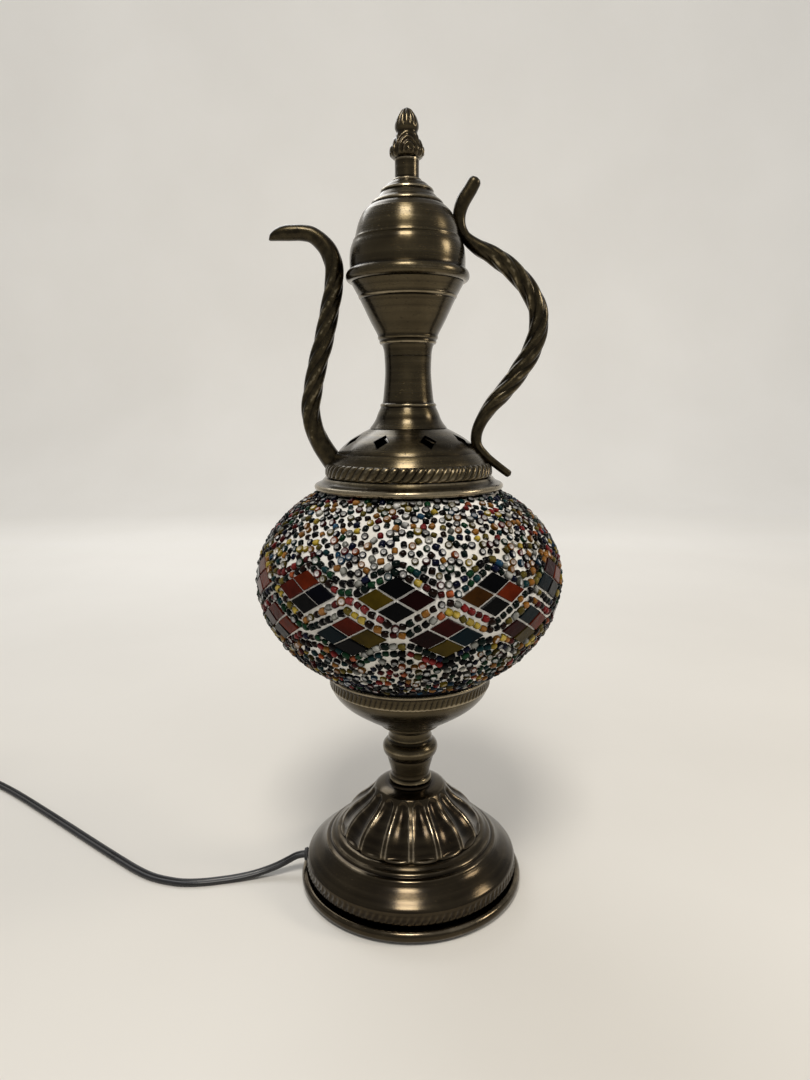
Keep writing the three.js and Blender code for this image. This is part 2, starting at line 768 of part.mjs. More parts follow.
function diamond(turn, up) {
  const aside = diamondWide / 4 / globeRadius;
  return [
    tile(turn, up + diamondTall / 4),
    tile(turn - aside, up),
    tile(turn + aside, up),
    tile(turn, up - diamondTall / 4),
  ];
}
const eachDiamond = Array.from({ length: diamondCount }, (_, k) => k * diamondStep);
const diamonds = eachDiamond.flatMap((turn) => [
  ...diamond(upperRowTurn + turn, upperRowUp),
  ...diamond(lowerRowTurn + turn, lowerRowUp),
]);

// Bands of two rows of beads that zigzag beside the diamonds: at each distance round from an upper diamond's
// middle, the heights of the lower and the upper row
const beadTop = beadRise - bedSunk;
const roundStep = diamondStep * globeRadius;
const beadReach = diamondTall / 2 + beadRowOut;
const besideRow = (away) => beadReach - beadRowSlope * away;
function beadBand(distances, heights) {
  const rings = eachDiamond.flatMap((turn) => distances.map((x) => {
    const [low, high] = heights(x);
    return [
      [high + beadRoot, rootLift],
      [high, beadTop],
      [(low + high) / 2, -bedSunk],
      [low, beadTop],
      [low - beadRoot, rootLift],
    ].map(([up, lift]) => placeUp(upperRowTurn + turn + x / globeRadius, up, lift));
  }));
  return loft(rings, true);
}
const levelFrom = (beadReach - beadRowValley) / beadRowSlope;
const outerShares = [0, levelFrom, roundStep - levelFrom];
const awayFrom = (x) => Math.min(x, roundStep - x);
const outerRow = (x) => Math.max(besideRow(awayFrom(x)), beadRowValley);
const upperBand = beadBand(outerShares, (x) => {
  const row = upperRowUp + outerRow(x);
  return [row, row + beadRowStep];
});
const lowerShares = outerShares.map((x) => x + roundStep / 2);
const lowerBand = beadBand(lowerShares, (x) => {
  const row = lowerRowUp - outerRow(x - roundStep / 2);
  return [row - beadRowStep, row];
});
const middleShares = [0, 0.25, 0.5, 0.75].map((share) => share * roundStep);
const middleBand = beadBand(middleShares, (x) => [
  lowerRowUp + besideRow(roundStep / 2 - awayFrom(x)),
  upperRowUp - besideRow(awayFrom(x)),
]);

// Single beads in staggered rings between the bands and the coat's edges, each a short ridge on a square root
function singleBead(turn, angle, lean) {
  const at = (x, y, lift) => {
    const side = x * Math.cos(lean) - y * Math.sin(lean);
    const up = x * Math.sin(lean) + y * Math.cos(lean);
    return placeAt(turn + side / (globeRadius * Math.cos(angle)), angle + up / globeRadius, lift);
  };
  const half = beadLength / 2;
  return hullOf([
    ...[[-1, -1], [1, -1], [1, 1], [-1, 1]].map(([x, y]) => at(x * beadRoot, y * beadRoot, rootLift)),
    at(-half, 0, beadTop),
    at(half, 0, beadTop),
  ]);
}
function beadRing(angle, number) {
  const count = Math.round((2 * Math.PI * globeRadius * Math.cos(angle)) / beadSpacing);
  return Array.from({ length: count }, (_, i) => {
    const lean = Math.PI * ((0.37 * i + 0.29 * number) % 1);
    return singleBead((2 * Math.PI * (i + number / 2)) / count, angle, lean);
  });
}
const ringShares = [0.17, 0.5, 0.83];
const bandTop = angleUp(upperRowUp + beadReach + beadRowStep);
const bandBottom = angleUp(lowerRowUp - beadReach - beadRowStep);
const singleBeads = ringShares.flatMap((share, number) => [
  ...beadRing(bandTop + (coatTo - bandTop) * share, number),
  ...beadRing(bandBottom + (coatFrom - bandBottom) * share, number),
]);

// Mosaic coat: beads and tiles in white bedding over the glass
const bedLine = globeLine(coatAngles, bedSunk);
const bedFoot = bedLine[0][1];
const bedHead = bedLine[globeSteps][1];
const bed = turned([[0, bedFoot], ...bedLine, [0, bedHead]], bigSides);
const coatInner = globeLine(coatAngles, coatThick);
const coatHollow = turned([
  [0, bedFoot - gap],
  [coatInner[0][0], bedFoot - gap],
  ...coatInner,
  [coatInner[globeSteps][0], bedHead + gap],
  [0, bedHead + gap],
], bigSides);
const relief = [upperBand, middleBand, lowerBand, ...diamonds, ...singleBeads];
const coat = solidOf(cut(joined([bed, ...relief]), [coatHollow]));
piece("mosaic_coat", geometryOf(coat.asOriginal().simplify(coatTolerance)), mosaic);

// Gasket: the ring in the cup's mouth that the globe sits in
const glassBelow = glassOuter.filter(([, z]) => z < globeZ).map(([r, z]) => [z, r]);
const glassLowAt = (r) => radiusAt(glassBelow, r);
const gasketOuter = (z) => Math.min(radiusAt(cupInside, z) - gap, seatRadius);
const gasketFoot = rimZ - gasketDepth;
const gasketInner = seatRadius - gasketWidth;
piece("globe_gasket", turned([
  [gasketInner, gasketFoot + 2 * gap],
  [gasketOuter(gasketFoot), gasketFoot],
  [gasketOuter(rimZ - 3 * gap), rimZ - 3 * gap],
  [seatRadius, rimZ + gap],
  [seatRadius, glassLowAt(seatRadius) - gap],
  [gasketInner, glassLowAt(gasketInner) - gap],
], bigSides), rubber);

// Cap: the skirt that sits on the globe's mouth, with a collar inside it
const skirtTop = skirtZ + skirtHeight;
const collarRadius = mouthRadius - glassThick - 3 * gap;
const lipInner = collarRadius - wall - skirtLip;
const coatUpAt = (r) => globeZ + globeUp * Math.sqrt(1 - (r / globeRadius) ** 2);
const skirtUnder = skirtRadius - 0.3 * skirtHeight;
piece("rim_skirt", turned([
  [collarRadius - wall, skirtZ - collarDepth],
  [collarRadius, skirtZ - collarDepth],
  [collarRadius, skirtZ],
  [mouthRadius + gap, skirtZ],
  [skirtUnder, Math.max(skirtZ - gap, coatUpAt(skirtUnder) + gap)],
  ...between(shoulderRadius, skirtRadius, skirtZ, skirtTop, [
    [0.94, 0], [1, 0.2], [0.94, 0.44], [0.44, 0.7], [0.12, 1],
  ]),
  [lipInner, skirtTop],
  [lipInner, skirtTop - wall],
  [collarRadius - wall, skirtTop - wall],
], bigSides), brass);

// Shoulder: domed, with a rope band at its foot and a ring of four-pointed vents
const shoulderTop = shoulderZ + shoulderHeight;
const shoulderOuter = between(neckBaseRadius, shoulderRadius, shoulderZ, shoulderTop, [
  [0.99, 0], [1.01, 0.13], [0.985, 0.235], [0.915, 0.29], [0.825, 0.41], [0.675, 0.575], [0.48, 0.745],
  [0.35, 0.83], [0.175, 0.92], [0, 1],
]);
const ventZ = shoulderZ + ventShare * shoulderHeight;
const ventDeep = 8 * wall;
function vent(angle) {
  const shape = new THREE.Shape();
  Array.from({ length: starCorners }, (_, i) => (2 * Math.PI * i) / starCorners).forEach((a, i) => {
    const half = i % 2 ? ventHollow / Math.SQRT2 : 0.5;
    shape[i ? "lineTo" : "moveTo"](half * ventTall * Math.cos(a), half * ventWide * Math.sin(a));
  });
  const star = new THREE.ExtrudeGeometry(shape, { depth: ventDeep, bevelEnabled: false });
  const r = radiusAt(shoulderOuter, ventZ);
  const half = ventTall / 4;
  const slope = radiusAt(shoulderOuter, ventZ - half) - radiusAt(shoulderOuter, ventZ + half);
  const tilt = Math.atan2(slope, 2 * half);
  star.translate(0, 0, -ventDeep / 2).rotateY(Math.PI / 2 - tilt);
  return star.translate(r, 0, ventZ).rotateZ(angle);
}
const ventStep = (2 * Math.PI) / ventCount;
const ventTurn = front + (ventTurnDeg * Math.PI) / 180;
const vents = Array.from({ length: ventCount }, (_, i) => vent(ventTurn + ventStep * (i + 0.5)));

// Neck, funnel, band and crown stand on each other
const neckOuter = between(neckRadius, neckBaseRadius, neckZ, neckZ + neckHeight, [
  [1, 0], [0.87, 0.05], [0.65, 0.12], [0.48, 0.22], [0.28, 0.31], [0.27, 0.345], [0.17, 0.38], [0.1, 0.51],
  [0, 0.75], [0.03, 1],
]);
piece("neck_shell", spun(neckOuter, wall, middleSides), brass);
const funnelOuter = between(neckRadius, funnelRadius, funnelZ, funnelZ + funnelHeight, [
  [0.015, 0], [0.1, 0.165], [0.165, 0.225], [0.195, 0.28], [0.33, 0.395], [0.735, 0.775], [0.76, 0.82],
  [0.85, 0.9], [1, 1],
]);
piece("funnel_shell", spun(funnelOuter, wall, middleSides), brass);
const capBandTop = bandZ + bandHeight;
const bandOuter = [
  [funnelRadius, bandZ],
  [bandRadius + 0.3 * bandBead, bandZ + 0.25 * bandBead],
  [bandRadius + 0.65 * bandBead, bandZ + bandBead],
  [bandRadius + 0.5 * bandBead, bandZ + 1.7 * bandBead],
  [bandRadius, bandZ + 2.1 * bandBead],
  ...between(crownRadius, bandRadius, bandZ, capBandTop, [[0.99, 0.65], [0.75, 0.85], [0.3, 1]]),
];
piece("dome_band", spun(bandOuter, wall * 1.3, middleSides), brass);
const crownTop = crownZ + crownHeight;
const crownOuter = between(crownTopRadius, crownRadius, crownZ, crownTop, [
  [1, 0], [0.96, 0.1], [0.91, 0.235], [0.85, 0.34], [0.77, 0.44], [0.55, 0.58], [0.43, 0.665], [0.31, 0.785],
  [0.22, 0.86], [0.13, 0.92], [0, 1],
]);
const crownInner = inset(crownOuter, wall);
const tieClear = tieRodRadius + gap;
const crownLoop = [
  ...crownOuter,
  [tieClear, crownTop],
  [tieClear, crownTop - 2 * wall],
  ...thinned(crownInner.slice(0, -2)).reverse(),
];
const tubeTop = tubeZ + tubeHeight;
piece("finial_tube", turned([
  [tieClear, tubeZ],
  [crownTopRadius - gap, tubeZ],
  [tubeRadius + tubeFlare, tubeZ + 0.06 * tubeHeight],
  [tubeRadius + 0.9 * tubeFlare, tubeZ + 0.12 * tubeHeight],
  [tubeRadius, tubeZ + 0.17 * tubeHeight],
  [tubeRadius, tubeTop],
  [tieClear, tubeTop],
], smallSides), brass);
const finialTop = finialZ + finialHeight;
piece("finial", turned([
  [0, finialZ + tieRodInFinial + finialBoreCone],
  [tieClear, finialZ + tieRodInFinial],
  [tieClear, finialZ],
  ...between(0, finialRadius, finialZ, finialTop, [
    [0.7, 0], [0.92, 0.06], [1, 0.14], [0.94, 0.25], [0.72, 0.38], [0.63, 0.5], [0.65, 0.65], [0.6, 0.76],
    [0.4, 0.9], [0, 1],
  ]),
], smallSides), brass);

// Rod that ties the cap together, with a three-armed spider under the skirt's lip
const spiderZ = skirtTop - wall - gap - spiderThick;
const tieWasherZ = spiderZ - gap - washerThick;
const tieNutZ = tieWasherZ - gap - nutThick;
const tieRodBottom = tieNutZ - rodPastNut;
piece("tie_rod", turned([
  [0, tieRodBottom],
  [tieRodRadius, tieRodBottom],
  [tieRodRadius, finialZ + tieRodInFinial - gap],
  [0, finialZ + tieRodInFinial - gap],
], smallSides), steel);
const armReach = collarRadius - wall - 2 * gap;
const spiderShape = new THREE.Shape();
for (let i = 0; i < 3; i++) {
  const a = front + Math.PI + (2 * Math.PI * i) / 3;
  const turn = (x, y) => [x * Math.cos(a) - y * Math.sin(a), x * Math.sin(a) + y * Math.cos(a)];
  const root = spiderArm * 0.9;
  [[root, -spiderArm / 2], [armReach, -spiderArm / 2], [armReach, spiderArm / 2], [root, spiderArm / 2]]
    .forEach(([x, y], j) => spiderShape[i + j ? "lineTo" : "moveTo"](...turn(x, y)));
}
spiderShape.holes.push(new THREE.Path().absarc(0, 0, tieClear, 0, 2 * Math.PI, true));
const spiderSettings = { depth: spiderThick, bevelEnabled: false, curveSegments: 6 };
piece("cap_spider", new THREE.ExtrudeGeometry(spiderShape, spiderSettings).translate(0, 0, spiderZ), steel);
piece("tie_washer", washer(tieClear, tieWasherZ), steel);
piece("tie_nut", nut(tieClear, tieNutZ), steel);

// Spout and handle: bars twisted like rope along the middle, seated on the shoulder and the crown
const grown = (line, bottom, top) => turned([
  [0, bottom],
  ...line.map(([r, z]) => [r + gap, z]),
  [0, top],
], bigSides);
const shoulderSeat = grown(shoulderOuter, shoulderZ, shoulderTop);
const crownSeat = grown(crownOuter, crownZ, crownTop);
const bandSeat = grown(bandOuter, bandZ, capBandTop);

// Section of a square bar with hollow sides, turned along its length
function twistedSection(radius, groove, turn) {
  return Array.from({ length: barSides }, (_, j) => {
    const a = (2 * Math.PI * j) / barSides + turn;
    const r = radius * (j % 2 ? 1 - groove : 1);
    return [r * Math.cos(a), r * Math.sin(a)];
  });
}

// A bar along a path: thickness and groove are lines of [share, value] along it
const along = (line, share) => radiusAt(line.map(([s, v]) => [v, s]), share);
function twistedBar(route, steps, thickness, groove) {
  const path = route.getSpacedPoints(steps);
  const length = route.getLength();
  const section = (share) => twistedSection(
    armRadius * along(thickness, share),
    armGroove * along(groove, share),
    (2 * Math.PI * share * length) / twistPitch,
  );
  return swept(path, section, sideY);
}

// The spout's points: out from the shoulder's radius as a share of its reach, and up as a share of the height
// between the feet of the shoulder and the crown
const capSpan = crownZ - shoulderZ;
const spoutPoints = [
  [1.01, 1.003], [0.83, 1.032], [0.63, 1.036], [0.37, 1.036], [0.17, 1.027], [-0.02, 0.996], [-0.15, 0.96],
  [-0.23, 0.914], [-0.25, 0.866], [-0.23, 0.817], [-0.19, 0.768], [-0.14, 0.719], [-0.07, 0.648],
  [0.01, 0.577], [0.11, 0.505], [0.18, 0.44], [0.24, 0.374], [0.285, 0.316], [0.285, 0.264], [0.23, 0.212],
  [0.12, 0.152], [-0.05, 0.092], [-0.25, 0.03],
].map(([out, share]) => new THREE.Vector3(
  -(shoulderRadius + spoutReach * out),
  0,
  shoulderZ + capSpan * share,
));
const spoutRoute = new THREE.CatmullRomCurve3(spoutPoints, false, "centripetal");
const spoutSteps = 34;
const spoutBar = twistedBar(
  spoutRoute,
  spoutSteps,
  [[0, 0.2], [0.03, 0.52], [0.08, 0.68], [0.16, 0.76], [0.24, 0.92], [0.5, 1], [0.85, 0.98], [1, 1.08]],
  [[0, 0.25], [0.24, 0.4], [0.32, 1], [0.8, 1], [0.9, 0.3], [1, 0.1]],
);

// The handle's points: out from a line between the shoulder and the crown and aside, as shares of its reach
// and of its lean, and up as a share of the height between their feet
const handlePoints = [
  [0.343, 0, 1.254], [0.231, 0, 1.206], [0.109, 0, 1.158], [0.035, 0, 1.105], [0.03, 0, 1.056],
  [0.09, 0, 1.016], [0.216, 0, 0.977], [0.432, 0, 0.94], [0.618, 0, 0.898], [0.798, 0, 0.84],
  [0.943, 0, 0.764], [0.99, 0, 0.696], [0.945, 0, 0.619], [0.805, -0.07, 0.532], [0.608, -0.14, 0.454],
  [0.397, -0.29, 0.383], [0.154, -0.5, 0.313], [-0.045, -0.71, 0.242], [-0.149, -0.86, 0.18],
  [-0.16, -0.94, 0.136], [-0.06, -1, 0.092], [0.1, -1, 0.047], [0.277, -0.93, 0.008],
].map(([out, aside, share]) => new THREE.Vector3(
  shoulderRadius + (crownRadius - shoulderRadius) * share + handleReach * out,
  handleAside * aside,
  shoulderZ + capSpan * share,
));
const handleUpperTouch = 4;
const handleLowerTouch = 20;
const handleRoute = new THREE.CatmullRomCurve3(handlePoints, false, "centripetal");
const handleSteps = 48;
const handleBar = twistedBar(
  handleRoute,
  handleSteps,
  [[0, 0.45], [0.015, 0.62], [0.06, 0.66], [0.12, 0.54], [0.165, 0.48], [0.22, 0.78], [0.28, 0.95], [0.62, 1],
    [0.72, 0.86], [0.8, 0.55], [0.87, 0.46], [0.92, 0.36], [1, 0.3]],
  [[0, 0.2], [0.2, 0.3], [0.28, 1], [0.72, 1], [0.82, 0.3], [1, 0.2]],
);

// Screws from inside the cap: a seat on a turned line at a height and an angle, with its outward normal
function seatOn(line, z, angle) {
  const r = radiusAt(line, z);
  const half = screwRadius;
  const slope = (radiusAt(line, z - half) - radiusAt(line, z + half)) / (2 * half);
  const normal = new THREE.Vector3(Math.cos(angle), Math.sin(angle), slope).normalize();
  return { point: new THREE.Vector3(r * Math.cos(angle), r * Math.sin(angle), z), normal };
}
const lowerPoint = handlePoints[handleLowerTouch];
const lowerSeat = seatOn(shoulderOuter, lowerPoint.z, Math.atan2(lowerPoint.y, lowerPoint.x));
const upperSeat = seatOn(crownOuter, handlePoints[handleUpperTouch].z, 0);
const screwIn = 2 * wall + 3 * gap;
const screwSeats = {
  spout_screw: { ...seatOn(shoulderOuter, shoulderZ + spoutSeatRise, Math.PI), reach: spoutScrewReach },
  handle_lower_screw: { ...lowerSeat, reach: handleScrewReach },
  handle_upper_screw: { ...upperSeat, reach: handleScrewReach },
};
const screwStart = ({ point, normal }) => point.clone().addScaledVector(normal, -screwIn);
const screwHole = (seat) => aimed(
  bar(screwRadius + gap, screwIn + seat.reach + gap, screwSides),
  screwStart(seat),
  seat.normal,
);
Object.entries(screwSeats).forEach(([name, seat]) => {
  piece(name, aimed(screw(screwIn + seat.reach), screwStart(seat), seat.normal), steel);
});
const shoulderHoles = [screwHole(screwSeats.spout_screw), screwHole(screwSeats.handle_lower_screw)];
piece("shoulder_cap", cut(spun(shoulderOuter, wall, bigSides), [...vents, ...shoulderHoles]), brass);
piece("dome_crown", cut(turned(crownLoop, middleSides), [screwHole(screwSeats.handle_upper_screw)]), brass);
piece("spout", cut(spoutBar, [shoulderSeat, screwHole(screwSeats.spout_screw)]), brass);
const handleHoles = [screwHole(screwSeats.handle_upper_screw), screwHole(screwSeats.handle_lower_screw)];
piece("handle", cut(handleBar, [shoulderSeat, crownSeat, bandSeat, ...handleHoles]), brass);

// Cord from the grommet to the switch: flat on the table, its points chosen by eye
const cordZ = cordThick / 2 + gap / 3;
const cordPoints = [
  [cordExit.x - grommetOut - 2 * gap, 0, cordExit.z], [-67.5, -0.2, 10.7], [-72, -1, 8.6],
  [-78, -2.6, 6.2], [-85, -4.2, 4.1], [-93, -6.2, 2.6], [-101, -8, 1.8], [-110, -9.8, cordZ],
  [-121, -11.7, cordZ], [-132.6, -11.9, cordZ], [-143, -9.6, cordZ],
  [-152, -6.2, cordZ], [-163, 0.4, cordZ], [-175.5, 9.6, cordZ], [-193, 23, cordZ], [-212, 37.8, cordZ],
  [-232, 53.4, cordZ], [-253, 69.6, cordZ], [-275, 86.4, cordZ], [-291, 98, cordZ], [-304, 106.4, 1.7],
  [-313, 110.9, 2.6], [-320.5, 113.2, 3.9], [-328, 114, switchCordHeight],
].map(([x, y, z]) => new THREE.Vector3(x, y, z));
const cordRoute = new THREE.CatmullRomCurve3(cordPoints, false, "centripetal");
const cordSteps = 28;
const cordSection = (turn) => flatSection(cordWidth, cordThick, turn, cordSides);
piece("cord_run", swept(cordRoute.getSpacedPoints(cordSteps), () => cordSection(0)), flex);

// Switch on the cord: two halves of a case, and a rocker with its pin
const switchIn = cordPoints[cordPoints.length - 1];
const switchX = switchIn.x - gap - switchLength / 2;
const switchY = switchIn.y;
function caseHalf(thick, z) {
  const shape = new THREE.Shape();
  const round = switchWidth / 2;
  const half = switchLength / 2;
  shape.absarc(half - round, 0, round, -Math.PI / 2, Math.PI / 2, false);
  shape.absarc(-(half - round), 0, round, Math.PI / 2, 1.5 * Math.PI, false);
  const settings = { depth: thick, bevelEnabled: false, curveSegments: 8 };
  return new THREE.ExtrudeGeometry(shape, settings).translate(switchX, switchY, z);
}
const seamZ = switchBaseThick;
const rockerZ = seamZ + gap + switchCoverThick / 2;
const placeBox = (l, w, h, z) => new THREE.BoxGeometry(l, w, h).translate(switchX, switchY, z + h / 2);
const pinHalf = switchWindowWidth / 2 + rockerPinPast;
const pinBar = (radius, half) => aimed(
  bar(radius, 2 * half, screwSides),
  new THREE.Vector3(switchX, switchY - half, rockerZ),
  sideY,
);
piece("switch_base", cut(caseHalf(switchBaseThick, 0), [
  placeBox(switchWindowLength, switchWindowWidth, rockerWell, seamZ - rockerWell + gap),
]), flex);
piece("switch_cover", cut(caseHalf(switchCoverThick, seamZ + gap), [
  placeBox(switchWindowLength, switchWindowWidth, 2 * switchCoverThick, seamZ),
  pinBar(rockerPinRadius + gap, pinHalf + gap),
]), flex);
const rockerHalf = switchWindowLength / 2 - rockerEndPlay;
const rockerShape = new THREE.Shape();
const rockerTop = switchCoverThick / 2 + rockerRise;
const rockerCorners = [
  [-rockerHalf, -rockerSide],
  [0, -rockerKeel],
  [rockerHalf, -rockerSide],
  [rockerHalf, rockerTop],
  [0, rockerTop - rockerDish],
  [-rockerHalf, rockerTop],
];
rockerCorners.forEach(([x, y], i) => rockerShape[i ? "lineTo" : "moveTo"](x, y));
const rockerWidth = switchWindowWidth - 4 * gap;
const rockerBody = new THREE.ExtrudeGeometry(rockerShape, { depth: rockerWidth, bevelEnabled: false })
  .translate(0, 0, -rockerWidth / 2)
  .rotateX(Math.PI / 2)
  .rotateY((rockerTiltDeg * Math.PI) / 180)
  .translate(switchX, switchY, rockerZ);
piece("switch_rocker", joined([rockerBody, pinBar(rockerPinRadius, pinHalf)]), rubber);

// Coil: the cord stands on its edge and winds in on the lower layer, climbs, and winds out on the upper one
const coilStartX = switchX - switchLength / 2 - gap - switchToCoil;
const layerTurns = coilTurns / 2;
const coilOuter = coilMiddleRadius + (coilPitch * layerTurns) / 2;
const coilInner = coilOuter - coilPitch * layerTurns;
const coilMiddle = new THREE.Vector3(coilStartX, switchY - coilOuter, 0);
const coilLowZ = coilLift + cordWidth / 2;
function coilPoint(turns) {
  const past = turns - layerTurns;
  const climb = Math.min(Math.max(past / (2 * coilClimb) + 0.5, 0), 1);
  const r = coilInner + coilPitch * Math.abs(past);
  const z = coilLowZ + coilLayer * (climb * climb * (3 - 2 * climb));
  const a = Math.PI / 2 + 2 * Math.PI * turns;
  return new THREE.Vector3(coilMiddle.x + r * Math.cos(a), coilMiddle.y + r * Math.sin(a), z);
}
const coilSteps = Math.round(coilTurns * coilStepsPerTurn);
const coilTurn = Array.from({ length: coilSteps + 1 }, (_, i) => coilPoint((coilTurns * i) / coilSteps));
const coilEnd = coilTurn[coilSteps];
const tailPoint = (share) => new THREE.Vector3(coilEnd.x, coilEnd.y - coilTail * share, coilEnd.z);
const coilPath = [
  new THREE.Vector3(coilStartX + cordWidth, coilTurn[0].y, coilLowZ),
  ...coilTurn,
  tailPoint(0.3),
  tailPoint(0.65),
  tailPoint(1),
];
const coilSection = () => flatSection(cordThick, cordWidth, 0, coilSides);
piece("cord_coil", swept(coilPath, coilSection), flex);

// Least gap between turns that are half a turn or more apart, measured on points of the middle line
let leastGap = Infinity;
for (let i = 0; i < coilTurn.length; i++) {
  for (let j = i + coilStepsPerTurn / 2; j < coilTurn.length; j++) {
    const level = Math.hypot(coilTurn[i].x - coilTurn[j].x, coilTurn[i].y - coilTurn[j].y) - cordThick;
    const rise = Math.abs(coilTurn[i].z - coilTurn[j].z) - cordWidth;
    leastGap = Math.min(leastGap, Math.max(level, rise));
  }
}
console.log("least gap in the coil " + leastGap.toFixed(2) + " mm");

// Short cord from the switch to the coil, turning from flat to on edge
const linkRoute = new THREE.CatmullRomCurve3([
  new THREE.Vector3(switchX - switchLength / 2 - gap, switchY, switchCordHeight),
  new THREE.Vector3(switchX - switchLength / 2 - cordWidth, switchY, switchCordHeight - gap),
  new THREE.Vector3(coilStartX + 2 * cordWidth, switchY, coilLowZ),
  new THREE.Vector3(coilStartX + cordWidth + gap, switchY, coilLowZ),
], false, "centripetal");
piece("cord_link", swept(linkRoute.getSpacedPoints(6), (share) => cordSection((Math.PI / 2) * share)), flex);

// Tie: a flat band round the bundle of turns
const tieInner = coilOuter - coilInner + cordThick + 4 * gap;
const tieTall = coilLayer + cordWidth + 2 * gap;
const tieShape = new THREE.Shape();
const frame = (path, w, h) => {
  path.moveTo(-w / 2, -h / 2);
  path.lineTo(w / 2, -h / 2);
  path.lineTo(w / 2, h / 2);
  path.lineTo(-w / 2, h / 2);
  return path;
};
frame(tieShape, tieInner + 2 * tieThick, tieTall + 2 * tieThick);
tieShape.holes.push(frame(new THREE.Path(), tieInner, tieTall));
const tieZ = coilLift - gap + tieTall / 2;
const tieMiddle = (coilOuter + coilInner) / 2;
piece("cord_tie", new THREE.ExtrudeGeometry(tieShape, { depth: tieWidth, bevelEnabled: false })
  .translate(0, 0, -tieWidth / 2)
  .rotateX(Math.PI / 2)
  .translate(coilMiddle.x + tieMiddle, coilMiddle.y, tieZ), rubber);

// Plug beside the coil: tapered neck, body and two blades
const plugZ = coilEnd.z;
const plugY = coilEnd.y - coilTail - gap;
const plugSides = 12;
const neckHalf = cordWidth / 2 + plugNeckWall;
const plugRing = (y, halfWide, halfThick) => Array.from({ length: plugSides }, (_, j) => {
  const a = (2 * Math.PI * (j + 0.5)) / plugSides;
  const c = Math.cos(a);
  const s = Math.sin(a);
  const x = halfWide * Math.sign(c) * Math.abs(c) ** 0.5;
  const z = halfThick * Math.sign(s) * Math.abs(s) ** 0.5;
  return new THREE.Vector3(coilEnd.x + x, plugY - y, plugZ + z);
});
piece("plug_body", loft([
  plugRing(0, neckHalf, neckHalf),
  plugRing(plugNeck * 0.8, neckHalf * 1.25, neckHalf * 1.25),
  plugRing(plugNeck, plugWidth * 0.34, plugThick * 0.42),
  plugRing(plugNeck + plugLength * 0.25, plugWidth / 2, plugThick / 2),
  plugRing(plugNeck + plugLength, plugWidth / 2, plugThick / 2),
]), flex);
[-1, 1].forEach((side, i) => {
  const bladeX = coilEnd.x + (side * bladeSpacing) / 2;
  const bladeY = plugY - plugNeck - plugLength - gap - bladeLength / 2;
  const blade = new THREE.BoxGeometry(bladeThick, bladeLength, bladeWidth).translate(bladeX, bladeY, plugZ);
  piece("plug_blade_" + (i + 1), blade, brass);
});

export default lamp;
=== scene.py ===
import bmesh
import bpy
import numpy as np
from mathutils import Matrix, Vector


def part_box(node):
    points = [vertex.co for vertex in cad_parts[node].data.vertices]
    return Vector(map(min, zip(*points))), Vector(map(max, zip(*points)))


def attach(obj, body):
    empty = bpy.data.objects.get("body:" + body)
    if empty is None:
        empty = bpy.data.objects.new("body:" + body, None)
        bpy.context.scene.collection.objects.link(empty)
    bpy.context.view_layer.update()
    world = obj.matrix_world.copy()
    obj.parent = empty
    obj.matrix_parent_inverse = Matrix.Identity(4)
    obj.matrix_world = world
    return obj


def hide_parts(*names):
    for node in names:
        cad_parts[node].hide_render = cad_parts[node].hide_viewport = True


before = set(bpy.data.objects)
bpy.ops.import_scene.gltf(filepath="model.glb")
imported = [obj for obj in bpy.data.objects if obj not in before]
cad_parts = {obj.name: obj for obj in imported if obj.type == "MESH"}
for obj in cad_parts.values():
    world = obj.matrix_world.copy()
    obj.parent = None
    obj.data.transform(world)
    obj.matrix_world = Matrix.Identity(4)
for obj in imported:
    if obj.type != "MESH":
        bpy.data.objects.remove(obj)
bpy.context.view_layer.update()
scene = bpy.context.scene
scene.view_settings.view_transform = "Standard"
mm = 0.001
fullTurn = 2 * np.pi
dice = np.random.default_rng(23)
footOf = {name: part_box(name)[0].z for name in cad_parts}  # lowest height of each solid
print("frame loaded,", len(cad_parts), "nodes")


def linked(name, data):
    made = bpy.data.objects.new(name, data)
    scene.collection.objects.link(made)
    return made


# camera: short lens, a little above the globe and tilted down
view = {"place": (-0.0022, -0.4043, 0.2729), "downDeg": 10.2, "rollDeg": -0.37, "lens": 24.97}
lens = bpy.data.cameras.new("lens")
lens.lens = view["lens"]
lens.clip_start = 0.01
scene.camera = linked("camera", lens)
scene.camera.matrix_world = (
    Matrix.Translation(view["place"])
    @ Matrix.Rotation(np.radians(90 - view["downDeg"]), 4, "X")
    @ Matrix.Rotation(np.radians(view["rollDeg"]), 4, "Z")
)


# finishes: node trees on Object coordinates or the piece's own attributes; add makes a node and gives its
# outputs, dress fills the sockets of the shader
def newFinish(name):
    material = bpy.data.materials.new(name)
    material.use_nodes = True
    tree = material.node_tree

    def fill(node, into):
        for key, value in into.items():
            if isinstance(value, bpy.types.NodeSocket):
                tree.links.new(value, node.inputs[key])
            else:
                node.inputs[key].default_value = value

    def add(kind, into, **settings):
        node = tree.nodes.new("ShaderNode" + kind)
        for key, value in settings.items():
            setattr(node, key, value)
        fill(node, into)
        return node.outputs

    def dress(into):
        fill(tree.nodes["Principled BSDF"], into)
        return material

    return add, add("TexCoord", {})["Object"], dress


def noise(add, place, scale, detail, rough=0.5):
    into = {"Vector": place, "Scale": scale, "Detail": detail, "Roughness": rough}
    return add("TexNoise", into)["Fac"]


def maths(add, kind, *values):
    return add("Math", dict(enumerate(values)), operation=kind)[0]


def ramp(add, factor, *stops):
    colour = add("ValToRGB", {"Fac": factor})["Color"]
    elements = colour.node.color_ramp.elements
    while len(elements) < len(stops):
        elements.new(0.5)
    for element, (position, tone) in zip(elements, stops):
        element.position = position
        element.color = (*tone, 1)
    return colour


def spread(add, value, low, high, toLow, toHigh):
    into = {"Value": value, "From Min": low, "From Max": high, "To Min": toLow, "To Max": toHigh}
    return add("MapRange", into)["Result"]


